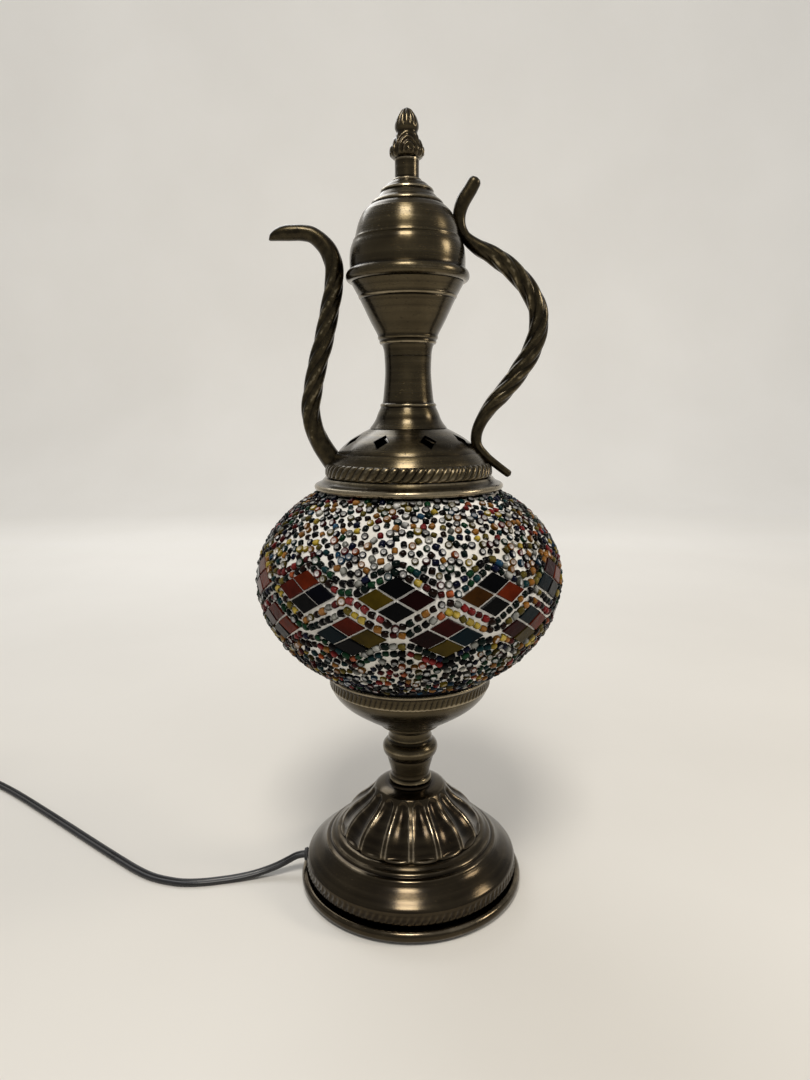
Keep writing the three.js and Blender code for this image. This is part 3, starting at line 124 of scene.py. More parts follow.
def bump(add, height, strength, distance, under=None):
    into = {"Height": height, "Strength": strength, "Distance": distance}
    if under is not None:
        into["Normal"] = under
    return add("Bump", into)[0]


# spun brass under thin lacquer: turned lines by radius and height, brown patina, pits, and worn edges from
# the wear attribute, which on the twisted arms also holds painted shade and painted highlights
def agedBrass(name, tones, rough, anisotropy, pits):
    add, place, dress = newFinish(name)
    flat = add("VectorMath", {0: place, 1: (1, 1, 0)}, operation="MULTIPLY")[0]
    radius = add("VectorMath", {0: flat}, operation="LENGTH")["Value"]
    rings = add("CombineXYZ", {0: radius, 1: add("SeparateXYZ", {0: place})["Z"]})[0]
    fine = noise(add, rings, 2600, 2)
    cloud = noise(add, place, 42, 6, 0.62)
    pit = spread(add, noise(add, place, 1500, 2), pits, pits + 0.05, 0, 1)
    wornAndShaded = maths(add, "MULTIPLY", add("Attribute", {}, attribute_name="wear")["Fac"], 0.62)
    lined = maths(add, "MULTIPLY_ADD", noise(add, rings, 330, 3), 0.5, wornAndShaded)
    clouded = maths(add, "MULTIPLY_ADD", cloud, 0.42, lined)
    pitted = maths(add, "MULTIPLY_ADD", pit, -0.25, clouded)
    sheen = maths(add, "MULTIPLY_ADD", fine, 0.45, cloud)
    soft = bump(add, cloud, 0.25, 0.0006, bump(add, fine, 0.35, 0.00006))
    return dress({
        "Base Color": ramp(add, pitted, *zip((0.3, 0.62, 0.88, 1.0), tones)),
        "Roughness": spread(add, sheen, 0.4, 1.05, *rough),
        "Normal": bump(add, pit, 0.5, -0.00012, soft),
        "Tangent": add("Tangent", {}, direction_type="UV_MAP")[0],
        "Metallic": 1, "Anisotropic": anisotropy, "Anisotropic Rotation": 0.25,
        "Coat Weight": 0.2, "Coat Roughness": 0.2,
    })


# plain metals inside the lamp: cloudy tone, fine scratches
def plainMetal(name, low, high, rough):
    add, place, dress = newFinish(name)
    scratch = noise(add, place, 2200, 2)
    return dress({
        "Base Color": ramp(add, noise(add, place, 120, 5), (0.3, low), (0.7, high)),
        "Roughness": spread(add, scratch, 0.3, 0.7, rough - 0.08, rough + 0.1),
        "Normal": bump(add, scratch, 0.3, 0.00005), "Metallic": 1,
    })


# moulded black and white goods: slight changes of sheen, fine grain
def moulded(name, low, high, rough, grain, depth):
    add, place, dress = newFinish(name)
    cloud = noise(add, place, 90, 5)
    return dress({
        "Base Color": ramp(add, cloud, (0.3, low), (0.75, high)),
        "Roughness": spread(add, cloud, 0.3, 0.7, rough - 0.07, rough + 0.09),
        "Normal": bump(add, noise(add, place, grain, 3), 0.4, depth),
    })


# felt: fibres as two crossed stretched noises
def feltCloth(name):
    add, place, dress = newFinish(name)
    ways = [add("Mapping", {0: place, "Scale": scale})[0] for scale in ((900, 3200, 900), (3200, 900, 900))]
    fuzz = maths(add, "MAXIMUM", *(noise(add, way, 1, 3) for way in ways))
    tone = ramp(add, fuzz, (0.4, (0.008, 0.009, 0.008)), (0.8, (0.03, 0.032, 0.03)))
    return dress({"Base Color": tone, "Normal": bump(add, fuzz, 0.8, 0.0003), "Roughness": 0.95})


# white bedding: chalky, greyer in stains, grainy
def whiteBedding(name):
    add, place, dress = newFinish(name)
    stain = noise(add, place, 36, 6, 0.6)
    lump = noise(add, place, 420, 4)
    tones = [(0.3, (0.6, 0.57, 0.5)), (0.5, (0.83, 0.81, 0.76)), (0.7, (0.88, 0.87, 0.84))]
    return dress({
        "Base Color": ramp(add, stain, *tones), "Roughness": spread(add, lump, 0.3, 0.7, 0.42, 0.62),
        "Normal": bump(add, lump, 0.6, 0.0006),
    })


# glass of the beads and the tiles: colour from the tint attribute, which for the beads also holds painted
# shade and a painted glow, deepened and thinned by a slow noise
def tintedGlass(name, scale, wave, depth, rough, gloss):
    add, place, dress = newFinish(name)
    tintAndShading = add("Attribute", {}, attribute_name="tintAndShading")["Color"]
    slow = noise(add, place, scale, 4)
    shade = ramp(add, slow, (0.3, (0.62, 0.62, 0.62)), (0.7, (1.25, 1.25, 1.25)))
    return dress({
        "Base Color": add("Mix", {6: tintAndShading, 7: shade, 0: 1.0}, data_type="RGBA", blend_type="MULTIPLY")[2],
        "Roughness": spread(add, slow, 0.3, 0.7, rough, rough + 0.1),
        "Normal": bump(add, noise(add, place, wave, 2), 0.5, depth),
        "IOR": 1.52, "Specular IOR Level": gloss,
    })


# clear glass: faint clouds of tone and sheen, slightly uneven
def clearGlass(name, low, high, rough, through):
    add, place, dress = newFinish(name)
    cloud = noise(add, place, 60, 4)
    return dress({
        "Base Color": ramp(add, cloud, (0.3, low), (0.7, high)),
        "Roughness": spread(add, cloud, 0.3, 0.7, rough, rough + 0.06),
        "Normal": bump(add, cloud, 0.2, 0.0004), "Transmission Weight": through, "IOR": 1.5,
    })


capTones = [(0.004, 0.0028, 0.0012), (0.025, 0.0178, 0.0078), (0.08, 0.062, 0.033), (0.31, 0.258, 0.172)]
footTones = [(0.0034, 0.0021, 0.0009), (0.0195, 0.0132, 0.0064), (0.057, 0.043, 0.0242), (0.27, 0.224, 0.158)]
armTones = [(0.003, 0.0021, 0.0009), (0.019, 0.0139, 0.006), (0.058, 0.0445, 0.0216), (0.29, 0.238, 0.146)]
capBrass = agedBrass("cap brass", capTones, (0.16, 0.36), 0.55, 0.66)
footBrass = agedBrass("foot brass", footTones, (0.1, 0.26), 0.5, 0.7)
armBrass = agedBrass("arm brass", armTones, (0.2, 0.38), 0.2, 0.66)
contactBrass = plainMetal("contact brass", (0.5, 0.36, 0.14), (0.7, 0.52, 0.24), 0.3)
zincSteel = plainMetal("zinc steel", (0.3, 0.3, 0.29), (0.5, 0.5, 0.48), 0.36)
castIron = plainMetal("cast iron", (0.03, 0.03, 0.03), (0.07, 0.07, 0.07), 0.62)
blackFelt = feltCloth("black felt")
bedding = whiteBedding("white bedding")
beadGlass = tintedGlass("bead glass", 300, 900, 0.0001, 0.05, 0.07)
tileGlass = tintedGlass("tile glass", 150, 220, 0.0004, 0.16, 0.06)
globeGlass = clearGlass("globe glass", (0.8, 0.84, 0.82), (0.9, 0.93, 0.91), 0.04, 1.0)
bulbGlass = clearGlass("bulb glass", (0.86, 0.87, 0.85), (0.94, 0.95, 0.94), 0.28, 0.85)
blackRubber = moulded("black rubber", (0.012, 0.012, 0.013), (0.028, 0.028, 0.03), 0.55, 900, 0.00008)
cordBlack = moulded("cord black", (0.006, 0.006, 0.007), (0.018, 0.018, 0.02), 0.3, 1400, 0.00004)
plugBlack = moulded("plug black", (0.01, 0.01, 0.011), (0.024, 0.024, 0.026), 0.46, 1800, 0.00006)
holderWhite = moulded("holder white", (0.55, 0.53, 0.47), (0.76, 0.74, 0.68), 0.38, 700, 0.00006)
print("finishes made")

# kinds of piece: finish, body and slot
feltKind = (blackFelt, "base", "felt")
footKind = (footBrass, "base", "dark_brass")
stemKind = (capBrass, "base", "antique_brass")
capKind = (capBrass, "ewer_top", "antique_brass")
armKind = (armBrass, "ewer_top", "antique_brass")
cordKind = (cordBlack, "base", "cord_black")
plugKind = (plugBlack, "base", "plug_black")
rubberKind = (blackRubber, "base", "black_rubber")
rockerKind = (blackRubber, "rocker", "black_rubber")
beddingKind = (bedding, "globe", "mosaic")
globeKind = (globeGlass, "globe", "clear_glass")
holderKind = (holderWhite, "base", "holder_white")
sleeveKind = (contactBrass, "base", "bright_brass")
bulbCapKind = (contactBrass, "bulb", "bright_brass")
bulbKind = (bulbGlass, "bulb", "clear_glass")


def unit(vectors):
    return vectors / (np.linalg.norm(vectors, axis=-1, keepdims=True) + 1e-12)


# Values side by side along a last axis
def joined(*values):
    return np.stack(np.broadcast_arrays(*values), axis=-1)


# Length from the start of a line to each of its points
def runAlong(line):
    return np.concatenate([[0], np.cumsum(np.linalg.norm(np.diff(line, axis=0), axis=1))])


# Even angles round a full turn
def roundOf(count, start=0.0):
    return (np.arange(count) + start) * fullTurn / count


# Smooth curve through points: cubic pieces with centripetal tangents, laid out again in even steps
def smoothCurve(points, step):
    p = np.asarray(points, float)
    if len(p) == 2:
        count = max(int(np.ceil(np.linalg.norm(p[1] - p[0]) / step)), 1)
        return p[0] + (p[1] - p[0]) * np.linspace(0, 1, count + 1)[:, None]
    gaps = np.sqrt(np.linalg.norm(np.diff(p, axis=0), axis=1))
    knots = np.concatenate([[0], np.cumsum(gaps)])
    slopes = np.diff(p, axis=0) / gaps[:, None]
    inner = slopes[:-1] + slopes[1:] - (p[2:] - p[:-2]) / (gaps[:-1] + gaps[1:])[:, None]
    tangents = np.vstack([1.5 * slopes[0] - 0.5 * inner[0], inner, 1.5 * slopes[-1] - 0.5 * inner[-1]])
    fine = np.linspace(0, knots[-1], 60 * len(p))
    k = np.clip(np.searchsorted(knots, fine, side="right") - 1, 0, len(gaps) - 1)
    w = ((fine - knots[k]) / gaps[k])[:, None]
    g = gaps[k][:, None]
    dense = (
        (1 + 2 * w) * (1 - w) ** 2 * p[k] + w * (1 - w) ** 2 * g * tangents[k]
        + w ** 2 * (3 - 2 * w) * p[k + 1] + w ** 2 * (w - 1) * g * tangents[k + 1]
    )
    return evenly(dense, step)


# The same line in even steps along its length
def evenly(line, step):
    run = runAlong(line)
    marks = np.linspace(0, run[-1], max(int(np.ceil(run[-1] / step)), 1) + 1)
    return joined(*(np.interp(marks, run, values) for values in line.T))


# Profile in millimetres, smooth between creases; None between two points makes a straight piece with a crease
# at both its ends
def profileLine(points, step):
    runs = [[]]
    for point in points:
        if point is None:
            runs.append([])
        else:
            runs[-1].append(point)
    return np.vstack([smoothCurve(run, step) if len(run) > 1 else np.array(run, float) for run in runs]) * mm


# Turned about the axis: (r cos a, r sin a, z)
def revolved(r, z, angle):
    return joined(r * np.cos(angle), r * np.sin(angle), z)


def meshOf(name, spots, faces):
    mesh = bpy.data.meshes.new(name)
    mesh.from_pydata(spots.reshape(-1, 3).tolist(), [], faces)
    return mesh


# Quads of a grid whose columns close round, and whose rows close too if it loops
def gridQuads(rows, columns, loops):
    i = np.arange(rows if loops else rows - 1)[:, None]
    j = np.arange(columns)[None]
    ahead = (j + 1) % columns
    above = (i + 1) % rows
    corners = [i * columns + j, i * columns + ahead, above * columns + ahead, above * columns + j]
    return joined(*corners).reshape(-1, 4)


# Object from a grid of points: rows run along the profile or path, columns run round it and close; the
# map's u goes once round and its v ten times a metre along
def gridObject(name, points, finish, loops=False, wear=0.5, sharp=38):
    rows, columns = points.shape[:2]
    quads = gridQuads(rows, columns, loops)
    mesh = meshOf(name, points, quads.tolist())
    strides = np.linalg.norm(np.diff(points, axis=0), axis=-1).mean(axis=1)
    run = 10 * np.concatenate([[0], np.cumsum(strides), [strides.sum() + strides[-1]]])
    row, column = np.divmod(quads[:, :1], columns)
    uv = joined((column + [0, 1, 1, 0]) / columns, run[row + [0, 0, 1, 1]])
    mesh.uv_layers.new(name="UVMap").data.foreach_set("uv", uv.astype(np.float32).ravel())
    wornAndShaded = np.broadcast_to(wear, (rows, columns)).astype(np.float32)
    mesh.attributes.new("wear", "FLOAT", "POINT").data.foreach_set("value", wornAndShaded.ravel())
    return finishMesh(name, mesh, finish, sharp)


# Doubles merged, which closes poles, faces smooth but for real edges, one material, linked at the origin
def finishMesh(name, mesh, finish, sharp):
    work = bmesh.new()
    work.from_mesh(mesh)
    bmesh.ops.remove_doubles(work, verts=work.verts, dist=1e-7)
    work.to_mesh(mesh)
    work.free()
    mesh.polygons.foreach_set("use_smooth", np.ones(len(mesh.polygons), bool))
    mesh.set_sharp_from_angle(angle=np.radians(sharp))
    mesh.materials.append(finish)
    return linked(name, mesh)


def placed(made, body, slotName, *stands):
    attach(made, body)
    if stands:
        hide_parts(*stands)
    return made


def laid(kind, name, grid, *stands, **more):
    finish, body, slotName = kind
    return placed(gridObject(name, grid, finish, **more), body, slotName, *stands)


# Wear along a profile: outward bends are rubbed pale, inward bends stay dark
def bendWear(line):
    step = np.gradient(line, axis=0)
    along = unit(step)
    turn = np.gradient(np.unwrap(np.arctan2(along[:, 1], along[:, 0])))
    bend = np.convolve(turn / (np.linalg.norm(step, axis=1) + 1e-9), np.ones(3) / 3, mode="same")
    return 0.5 + np.clip(bend * 0.00045, -0.4, 0.38)


# Surface of revolution: x = (r + d nr) cos a, y = (r + d nr) sin a, z + d nz, with the relief d along the
# profile's normal; the wall inside follows at its thickness and closes the loop
def turned(name, points, foot, columns, wall, finish, relief=None, step=0.45, sharp=38):
    line = profileLine(points, step) + np.array([0, foot])
    along = unit(np.gradient(line, axis=0))
    normal = joined(along[:, 1], -along[:, 0])
    angle = roundOf(columns)[None]
    rise = np.zeros((len(line), columns))
    wear = np.repeat(bendWear(line)[:, None], columns, axis=1)
    if relief:
        rise, extra = relief(angle, line[:, :1], line[:, 1:] - foot)
        wear = np.clip(wear + extra, 0, 1)
    r = np.maximum(line[:, :1] + rise * normal[:, :1], 0)
    z = line[:, 1:] + rise * normal[:, 1:]
    if wall:
        inside = (line - wall * mm * normal)[::-4]
        inside[0] = line[-1] - [wall * mm, 0]
        inside[-1] = line[0] - [wall * mm, 0]
        r = np.vstack([r, np.repeat(np.maximum(inside[:, :1], 0.0005), columns, axis=1)])
        z = np.vstack([z, np.repeat(inside[:, 1:], columns, axis=1)])
        wear = np.vstack([wear, np.full((len(inside), columns), 0.4)])
    return gridObject(name, revolved(r, z, angle), finish, loops=bool(wall), wear=wear, sharp=sharp)


# Turned piece on the foot of its node, or at a height of its own
def spun(kind, name, node, points, columns, wall, relief=None, stands=True, at=None, **more):
    finish, body, slotName = kind
    made = turned(name, points, footOf[node] if at is None else at, columns, wall, finish, relief, **more)
    return placed(made, body, slotName, *([node] if stands else []))


# Closed section turned about the axis
def ringLoop(kind, name, node, section, columns):
    rows = section + np.array([0, footOf[node]])
    grid = revolved(rows[:, :1], rows[:, 1:], roundOf(columns)[None])
    return laid(kind, name, grid, node, loops=True, wear=bendWear(rows)[:, None])


def eased(value, low, high):
    share = np.clip((value - low) / (high - low), 0, 1)
    return share * share * (3 - 2 * share)


# Share that is 1 between two heights (mm) and falls to 0 over a margin at each end
def within(height, low, high, margin):
    return eased(height, low * mm, (low + margin) * mm) * (1 - eased(height, (high - margin) * mm, high * mm))


# Ring of rounded ridges round the axis: sqrt(1 - t^2) across each ridge, leaning by slant turns per mm
def ridgeBand(count, low, high, depth, slant):
    def relief(angle, radius, height):
        share = (count * angle / fullTurn + slant * height / mm) % 1
        ridge = np.sqrt(np.maximum(1 - (2 * share - 1) ** 2, 0))
        inBand = within(height, low, high, 0.9)
        return (ridge - 0.75) * depth * mm * inBand, (ridge - 0.85) * 0.5 * inBand
    return relief


# Rings of a section carried along a path, side level unless given, rolled by an angle at each point
def sweptRings(path, u, v, roll=0.0, side=None):
    along = unit(np.gradient(path, axis=0))
    level = np.cross([0, 0, 1.0], along) if side is None else np.broadcast_to(side, path.shape)
    over = unit(np.cross(along, unit(level)))
    level = np.cross(over, along)
    roll = np.broadcast_to(roll, len(path))[:, None]
    turnedU = u * np.cos(roll) - v * np.sin(roll)
    turnedV = u * np.sin(roll) + v * np.cos(roll)
    rings = path[:, None] + level[:, None] * turnedU[..., None] + over[:, None] * turnedV[..., None]
    first = np.repeat(path[:1, None], rings.shape[1], axis=1)
    last = np.repeat(path[-1:, None], rings.shape[1], axis=1)
    return np.concatenate([first, rings, last])


# cords: flat twin flex, two round cores side by side with a groove between
flex = {"halfWide": 2.7, "core": 1.4, "apart": 1.3, "groove": 0.95, "grooveHalf": 0.5, "columns": 22,
        "step": 2.2}


# Outline of the flex: the upper edge is the higher of two circles, dipped between, and the lower mirrors it
def flexSection():
    half = flex["columns"] // 2
    across = -flex["halfWide"] * np.cos(np.pi * (np.arange(half) + 0.5) / half)
    edge = np.sqrt(np.maximum(flex["core"] ** 2 - (np.abs(across) - flex["apart"]) ** 2, 0.02))
    edge = np.where(np.abs(across) < flex["grooveHalf"], np.minimum(edge, flex["groove"]), edge)
    return np.concatenate([across, across[::-1]]) * mm, np.concatenate([-edge, edge[::-1]]) * mm


cordRun = [
    (-62.9, 0, 11.5), (-67.5, -0.2, 10.7), (-72, -1, 8.6), (-78, -2.6, 6.2), (-85, -4.2, 4.1),
    (-93, -6.2, 2.6), (-101, -8, 1.8), (-110, -9.8, 1.5), (-121, -11.7, 1.5), (-132.6, -11.9, 1.5),
    (-143, -9.6, 1.5), (-152, -6.2, 1.5), (-163, 0.4, 1.5), (-175.5, 9.6, 1.5), (-193, 23, 1.5),
    (-212, 37.8, 1.5), (-232, 53.4, 1.5), (-253, 69.6, 1.5), (-275, 86.4, 1.5), (-291, 98, 1.5),
    (-304, 106.4, 1.7), (-313, 110.9, 2.6), (-320.5, 113.2, 3.9), (-328, 114, 4.6),
]
runPath = smoothCurve(cordRun, flex["step"]) * mm
flexU, flexV = flexSection()
cordA = laid(cordKind, "cord_to_switch", sweptRings(runPath, flexU, flexV), "cord_run", sharp=60)

# coil: the flex stands on edge, winds in below, climbs, and winds out above
coil = {"start": (-403.2, 114.0), "beyond": 5.4, "turns": 7.25, "middle": 31.0, "pitch": 4.2, "layer": 6.0,
        "climb": 0.15, "low": 3.7, "tail": 24.0, "perTurn": 40, "leadStep": 1.4}


# Spiral: r = inner + pitch * |turns past the middle|, z rises one layer there, angle = quarter + turns
def coilLine():
    half = coil["turns"] / 2
    outer = coil["middle"] + coil["pitch"] * half / 2
    turns = np.linspace(0, coil["turns"], int(coil["turns"] * coil["perTurn"]) + 1)
    past = turns - half
    r = outer - coil["pitch"] * half + coil["pitch"] * np.abs(past)
    climb = eased(past, -coil["climb"], coil["climb"])
    angle = np.pi / 2 + fullTurn * turns
    x = coil["start"][0] - coil["beyond"] + r * np.cos(angle)
    y = coil["start"][1] - outer + r * np.sin(angle)
    return joined(x, y, coil["low"] + coil["layer"] * climb)


spiral = coilLine()
coilLead = [(-386.4, 114, 4.6), (-391.7, 114, 4.3), (-397.8, 114, 3.7), (-403, 114, 3.7), tuple(spiral[0])]
lead = smoothCurve(coilLead, coil["leadStep"])
tail = spiral[-1] + np.linspace(0, 1, 12)[1:, None] * np.array([0, -coil["tail"], 0])
coilPath = np.vstack([lead[:-1], spiral, tail]) * mm
leadRoll = np.pi / 2 * eased(np.arange(len(lead) - 1) / (len(lead) - 2), 0, 0.8)
coilRoll = np.concatenate([leadRoll, np.full(len(coilPath) - len(lead) + 1, np.pi / 2)])
coilRings = sweptRings(coilPath, flexU, flexV, coilRoll)
cordB = laid(cordKind, "cord_coiled", coilRings, "cord_link", "cord_coil", sharp=60)

# tie: flat band round the bundle, a rounded rectangle carried across its width; rows give inset and side
tie = {"node": "cord_tie", "corner": 1.6, "columns": 48,
       "rows": [(0, -1), (0, -0.33), (0, 0.33), (0, 1), (0.5, 1), (0.5, -1)]}


# Rounded outline by arc: each corner's centre plus its radius at the angle
def roundedLoop(straightX, straightY, radius, count):
    cos, sin = np.cos(roundOf(count, 0.5)), np.sin(roundOf(count, 0.5))
    return np.sign(cos) * straightX + radius * cos, np.sign(sin) * straightY + radius * sin


def tieRings():
    low, high = (np.array(corner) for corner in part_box(tie["node"]))
    middle = (low + high) / 2
    half = (high - low) / 2
    corner = tie["corner"] * mm
    inset, aside = np.array(tie["rows"]).T[..., None]
    straight = half - inset * mm - corner
    x, z = roundedLoop(straight[:, :1], straight[:, 2:], corner, tie["columns"])
    return middle + joined(x, aside * half[1], z)


tieBand = laid(rubberKind, "tie_band", tieRings(), "cord_tie", loops=True)

# plug: superellipse rings from the ribbed neck to the flat face; half widths and heights at marks along it
plug = {"x": -447.2, "y": 51.1, "z": 9.7, "columns": 44, "ribs": 7, "ribbed": (2, 15), "ribHeight": 0.45,
        "rings": [16.5, 18, 20, 22, 24.5, 27.5, 31, 36, 42, 47, 48.8, 49.7, 50, 50],
        "marks": [0, 16, 19, 24, 28, 47, 49.2, 50],
        "wide": [3.6, 5.0, 7.4, 11.4, 12.9, 12.9, 12.4, 11.6],
        "tall": [3.6, 5.0, 6.6, 8.9, 9.6, 9.6, 9.2, 8.5]}


# Ring at a distance along the plug: |x/a|^n + |z/b|^n = 1, as signed powers of cos and sin
def plugRings():
    low, high = plug["ribbed"]
    t = np.array([0, 0.6, 1.2, *np.linspace(low, high, 27), *plug["rings"]])
    waves = np.cos(fullTurn * (t - low) / ((high - low) / plug["ribs"]))
    rib = plug["ribHeight"] * waves * ((t >= low) & (t <= high))
    grow = np.ones(len(t))
    grow[-1] = 0
    angle = roundOf(plug["columns"])[None]
    shape = 2 / np.interp(t, [0, 18, 26, 50], [2, 2.2, 3.4, 3.4])[:, None]
    wide = ((np.interp(t, plug["marks"], plug["wide"]) + rib) * grow)[:, None]
    tall = ((np.interp(t, plug["marks"], plug["tall"]) + rib) * grow)[:, None]
    x = wide * np.sign(np.cos(angle)) * np.abs(np.cos(angle)) ** shape
    z = tall * np.sign(np.sin(angle)) * np.abs(np.sin(angle)) ** shape
    rings = joined(plug["x"] + x, (plug["y"] - t)[:, None], plug["z"] + z)
    start = np.broadcast_to([plug["x"], plug["y"], plug["z"]], rings[:1].shape)
    return np.concatenate([start, rings]) * mm


plugBody = laid(plugKind, "plug_moulded", plugRings(), "plug_body", sharp=50)

# switch: two halves of a stadium case with a window for the rocker; rows give inset and height, cuts give
# middle and half height
switch = {
    "x": -357.3, "y": 114.0, "halfLong": 29.0, "halfWide": 11.5, "window": (7.6, 5.0), "columns": 96,
    "lower": [(11.5, 0), (6, 0), (1.6, 0), (0.7, 0.25), (0.2, 0.9), (0, 2), (0, 5), (0.1, 6.6), (0.4, 7),
              (6, 7), (11.5, 7)],
    "upper": [(11.5, 7.3), (6, 7.3), (0.4, 7.3), (0.1, 7.7), (0, 9), (0.25, 11.4), (0.9, 13.2), (2.1, 14.4),
              (3.6, 15), (5.6, 15.3), (8, 15.3), (11.5, 15.3)],
    "lowerCut": (4.8, 2.5), "upperCut": (11, 6),
}


# Stadium rings: a circle pushed apart by the straight part
def stadiumRings(rows):
    inset, height = np.array(rows).T[..., None]
    reach = np.maximum(switch["halfWide"] - inset, 0)
    straight = (switch["halfLong"] - switch["halfWide"]) * (reach > 0)
    x, y = roundedLoop(straight, 0, reach, switch["columns"])
    return joined(switch["x"] + x, switch["y"] + y, height) * mm


def windowCutter(middle, half):
    corners = [(x, y, z) for z in (-1, 1) for x, y in ((-1, -1), (1, -1), (1, 1), (-1, 1))]
    spots = np.array(corners, float) * [*switch["window"], half] + [switch["x"], switch["y"], middle]
    faces = [(3, 2, 1, 0), (4, 5, 6, 7), (0, 1, 5, 4), (1, 2, 6, 5), (2, 3, 7, 6), (3, 0, 4, 7)]
    return linked("cutter", meshOf("cutter", spots * mm, faces))


# Cut away by another object, with the result kept as the mesh
def cutBy(made, cutter, sharp=38):
    trim = made.modifiers.new("trim", "BOOLEAN")
    trim.object = cutter
    trim.operation = "DIFFERENCE"
    graph = bpy.context.evaluated_depsgraph_get()
    trimmed = made.evaluated_get(graph)
    mesh = bpy.data.meshes.new_from_object(trimmed, preserve_all_data_layers=True, depsgraph=graph)
    made.modifiers.clear()
    mesh.set_sharp_from_angle(angle=np.radians(sharp))
    made.data = mesh
    bpy.data.objects.remove(cutter)
    return made


for part, node in (("lower", "switch_base"), ("upper", "switch_cover")):
    case = gridObject("switch_" + part + "_half", stadiumRings(switch[part]), plugBlack)
    cutBy(case, windowCutter(*switch[part + "Cut"]))
    placed(case, *plugKind[1:], node)

# rocker: a dished side outline carried across its width, tipped on its pin; rows give share of it and side
rocker = {
    "x": -357.3, "y": 114.0, "z": 11.3, "half": 6.4, "tiltDeg": 8.0, "top": 5.6, "dish": 1.2,
    "keel": [(-6.4, -2.0), (-3.2, -3.1), (0, -4.0), (3.2, -3.1), (6.4, -2.0), (6.4, 2.0)],
    "rows": [(0, -4.4), (0.93, -4.4), (0.99, -4.2), (1, -3.8), (1, 3.8), (0.99, 4.2), (0.93, 4.4), (0, 4.4)],
}


# Outline in x and z: keel below, ends upright, top dished by a power of cos
def rockerRings():
    x = np.linspace(rocker["half"], -rocker["half"], 15)
    z = rocker["top"] - rocker["dish"] * np.cos(np.pi * x / (2 * rocker["half"])) ** 1.5
    outline = np.vstack([rocker["keel"], joined(x, z), [(-rocker["half"], 2.0)]])
    share, aside = np.array(rocker["rows"]).T[..., None]
    x, z = outline.T[:, None] * share
    tilt = np.radians(rocker["tiltDeg"])
    tippedX = rocker["x"] + x * np.cos(tilt) + z * np.sin(tilt)
    tippedZ = rocker["z"] - x * np.sin(tilt) + z * np.cos(tilt)
    return joined(tippedX, rocker["y"] + aside, tippedZ) * mm


rockerPiece = laid(rockerKind, "rocker_key", rockerRings()[::-1], "switch_rocker")
print("switch, plug and tie made")

# foot: felt, rolled rim, hatch band, swelling wall with ring lines, recess
foot = {"columns": 192, "wall": 1.4, "hatches": 104, "hatchSlant": 0.1, "hatchBand": (6.2, 12.2, 1.2),
        "hatchColumns": 728}
feltLine = [(0, 0.02), None, (56.4, 0.02), (57, 0.35), (57, 0.9), (56.6, 1.2), None, (0, 1.2)]
spun(feltKind, "felt_disc", "felt_pad", feltLine, 128, 0, at=0)
rimLine = [
    (0, 0), None, (57.6, 0), (59.2, -0.28), (61, -0.5), (62.6, 0.0), (63.7, 1.2), (64, 2.6), (63.6, 4.1),
    (62.6, 5.2), (61.2, 5.6), (59.7, 5.2), (58.6, 4.3), (58.1, 3), (57.9, 2.2), (57.3, 1.7), None, (0, 1.6),
]
spun(footKind, "rolled_rim", "base_pan", rimLine, foot["columns"], 0, at=footOf["felt_pad"] + 1.2 * mm)


# Short raised strokes on the lower edge: a narrow bell across each stroke, leaning with height
def hatchRelief(angle, radius, height):
    share = (foot["hatches"] * angle / fullTurn - foot["hatchSlant"] * height / mm) % 1
    stroke = np.exp(-((share - 0.5) / 0.2) ** 2)
    inBand = within(height, *foot["hatchBand"])
    return (0.5 * stroke - 0.3) * mm * inBand, (0.26 * stroke - 0.3) * inBand


hatchLine = [
    (57, 0), None, (57, 5), (58.6, 5.5), None, (60.1, 5.9), (60.6, 7), (60.75, 9), (60.6, 11.2), (60.2, 13),
]
spun(footKind, "foot_hatch_band", "base_foot", hatchLine, foot["hatchColumns"], foot["wall"], hatchRelief,
     stands=False, step=0.5)
swellLine = [
    (60.2, 13), (59.6, 14), (58.3, 15.2), (56.3, 16.9), (54, 18.5), (51.9, 20), (50.6, 21.2), (49.9, 22.1),
    None, (49.6, 22.4), (49.1, 23.2), (48.0, 23.7), (47.0, 23.9), None, (46.7, 24.1), (46.2, 25),
    (45.3, 25.6), (44.4, 26), None, (43.8, 26.4), (43, 27), (42.2, 27.5), (41.6, 27.7), None, (35, 27.7),
]
spun(footKind, "foot_swell", "base_foot", swellLine, foot["columns"], foot["wall"])

# fluted dome: flat ridges with hollow flutes between, scalloped foot, plain collar
dome = {"flutes": 16, "depth": 1.5, "ridge": 2.4, "fluteTop": 25.8, "arch": 1.6, "scallop": 0.7,
        "wall": 3.4, "columns": 384}


# Flute: -depth * sin(pi t)^0.7 across the bay between two flat ridges, fading at its round top and its lip,
# with the colour lighter along both edges of each ridge and darker in the hollows; the lip is scalloped
def fluteRelief(angle, radius, height):
    share = (dome["flutes"] * angle / fullTurn) % 1
    edgeAt = dome["ridge"] * mm / 2 * dome["flutes"] / (fullTurn * radius)
    arch = np.sin(np.pi * np.clip((share - edgeAt) / (1 - 2 * edgeAt), 0, 1))
    top = dome["fluteTop"] - dome["arch"] * (1 - arch)
    opening = eased(height / mm, 0.4, 2) * (1 - eased(height / mm, top - 2.6, top - 0.6))
    hollow = arch ** 0.7 * opening
    lip = (1 - eased(height / mm, 0.2, 2.4)) * (arch ** 0.5 - 0.4)
    beside = np.minimum(np.abs(share - edgeAt), np.abs(1 - edgeAt - share))
    edge = np.exp(-(beside / 0.035) ** 2) * opening
    return (dome["scallop"] * lip - dome["depth"] * hollow) * mm, 0.5 * edge - 0.22 * hollow + 0.3 * lip


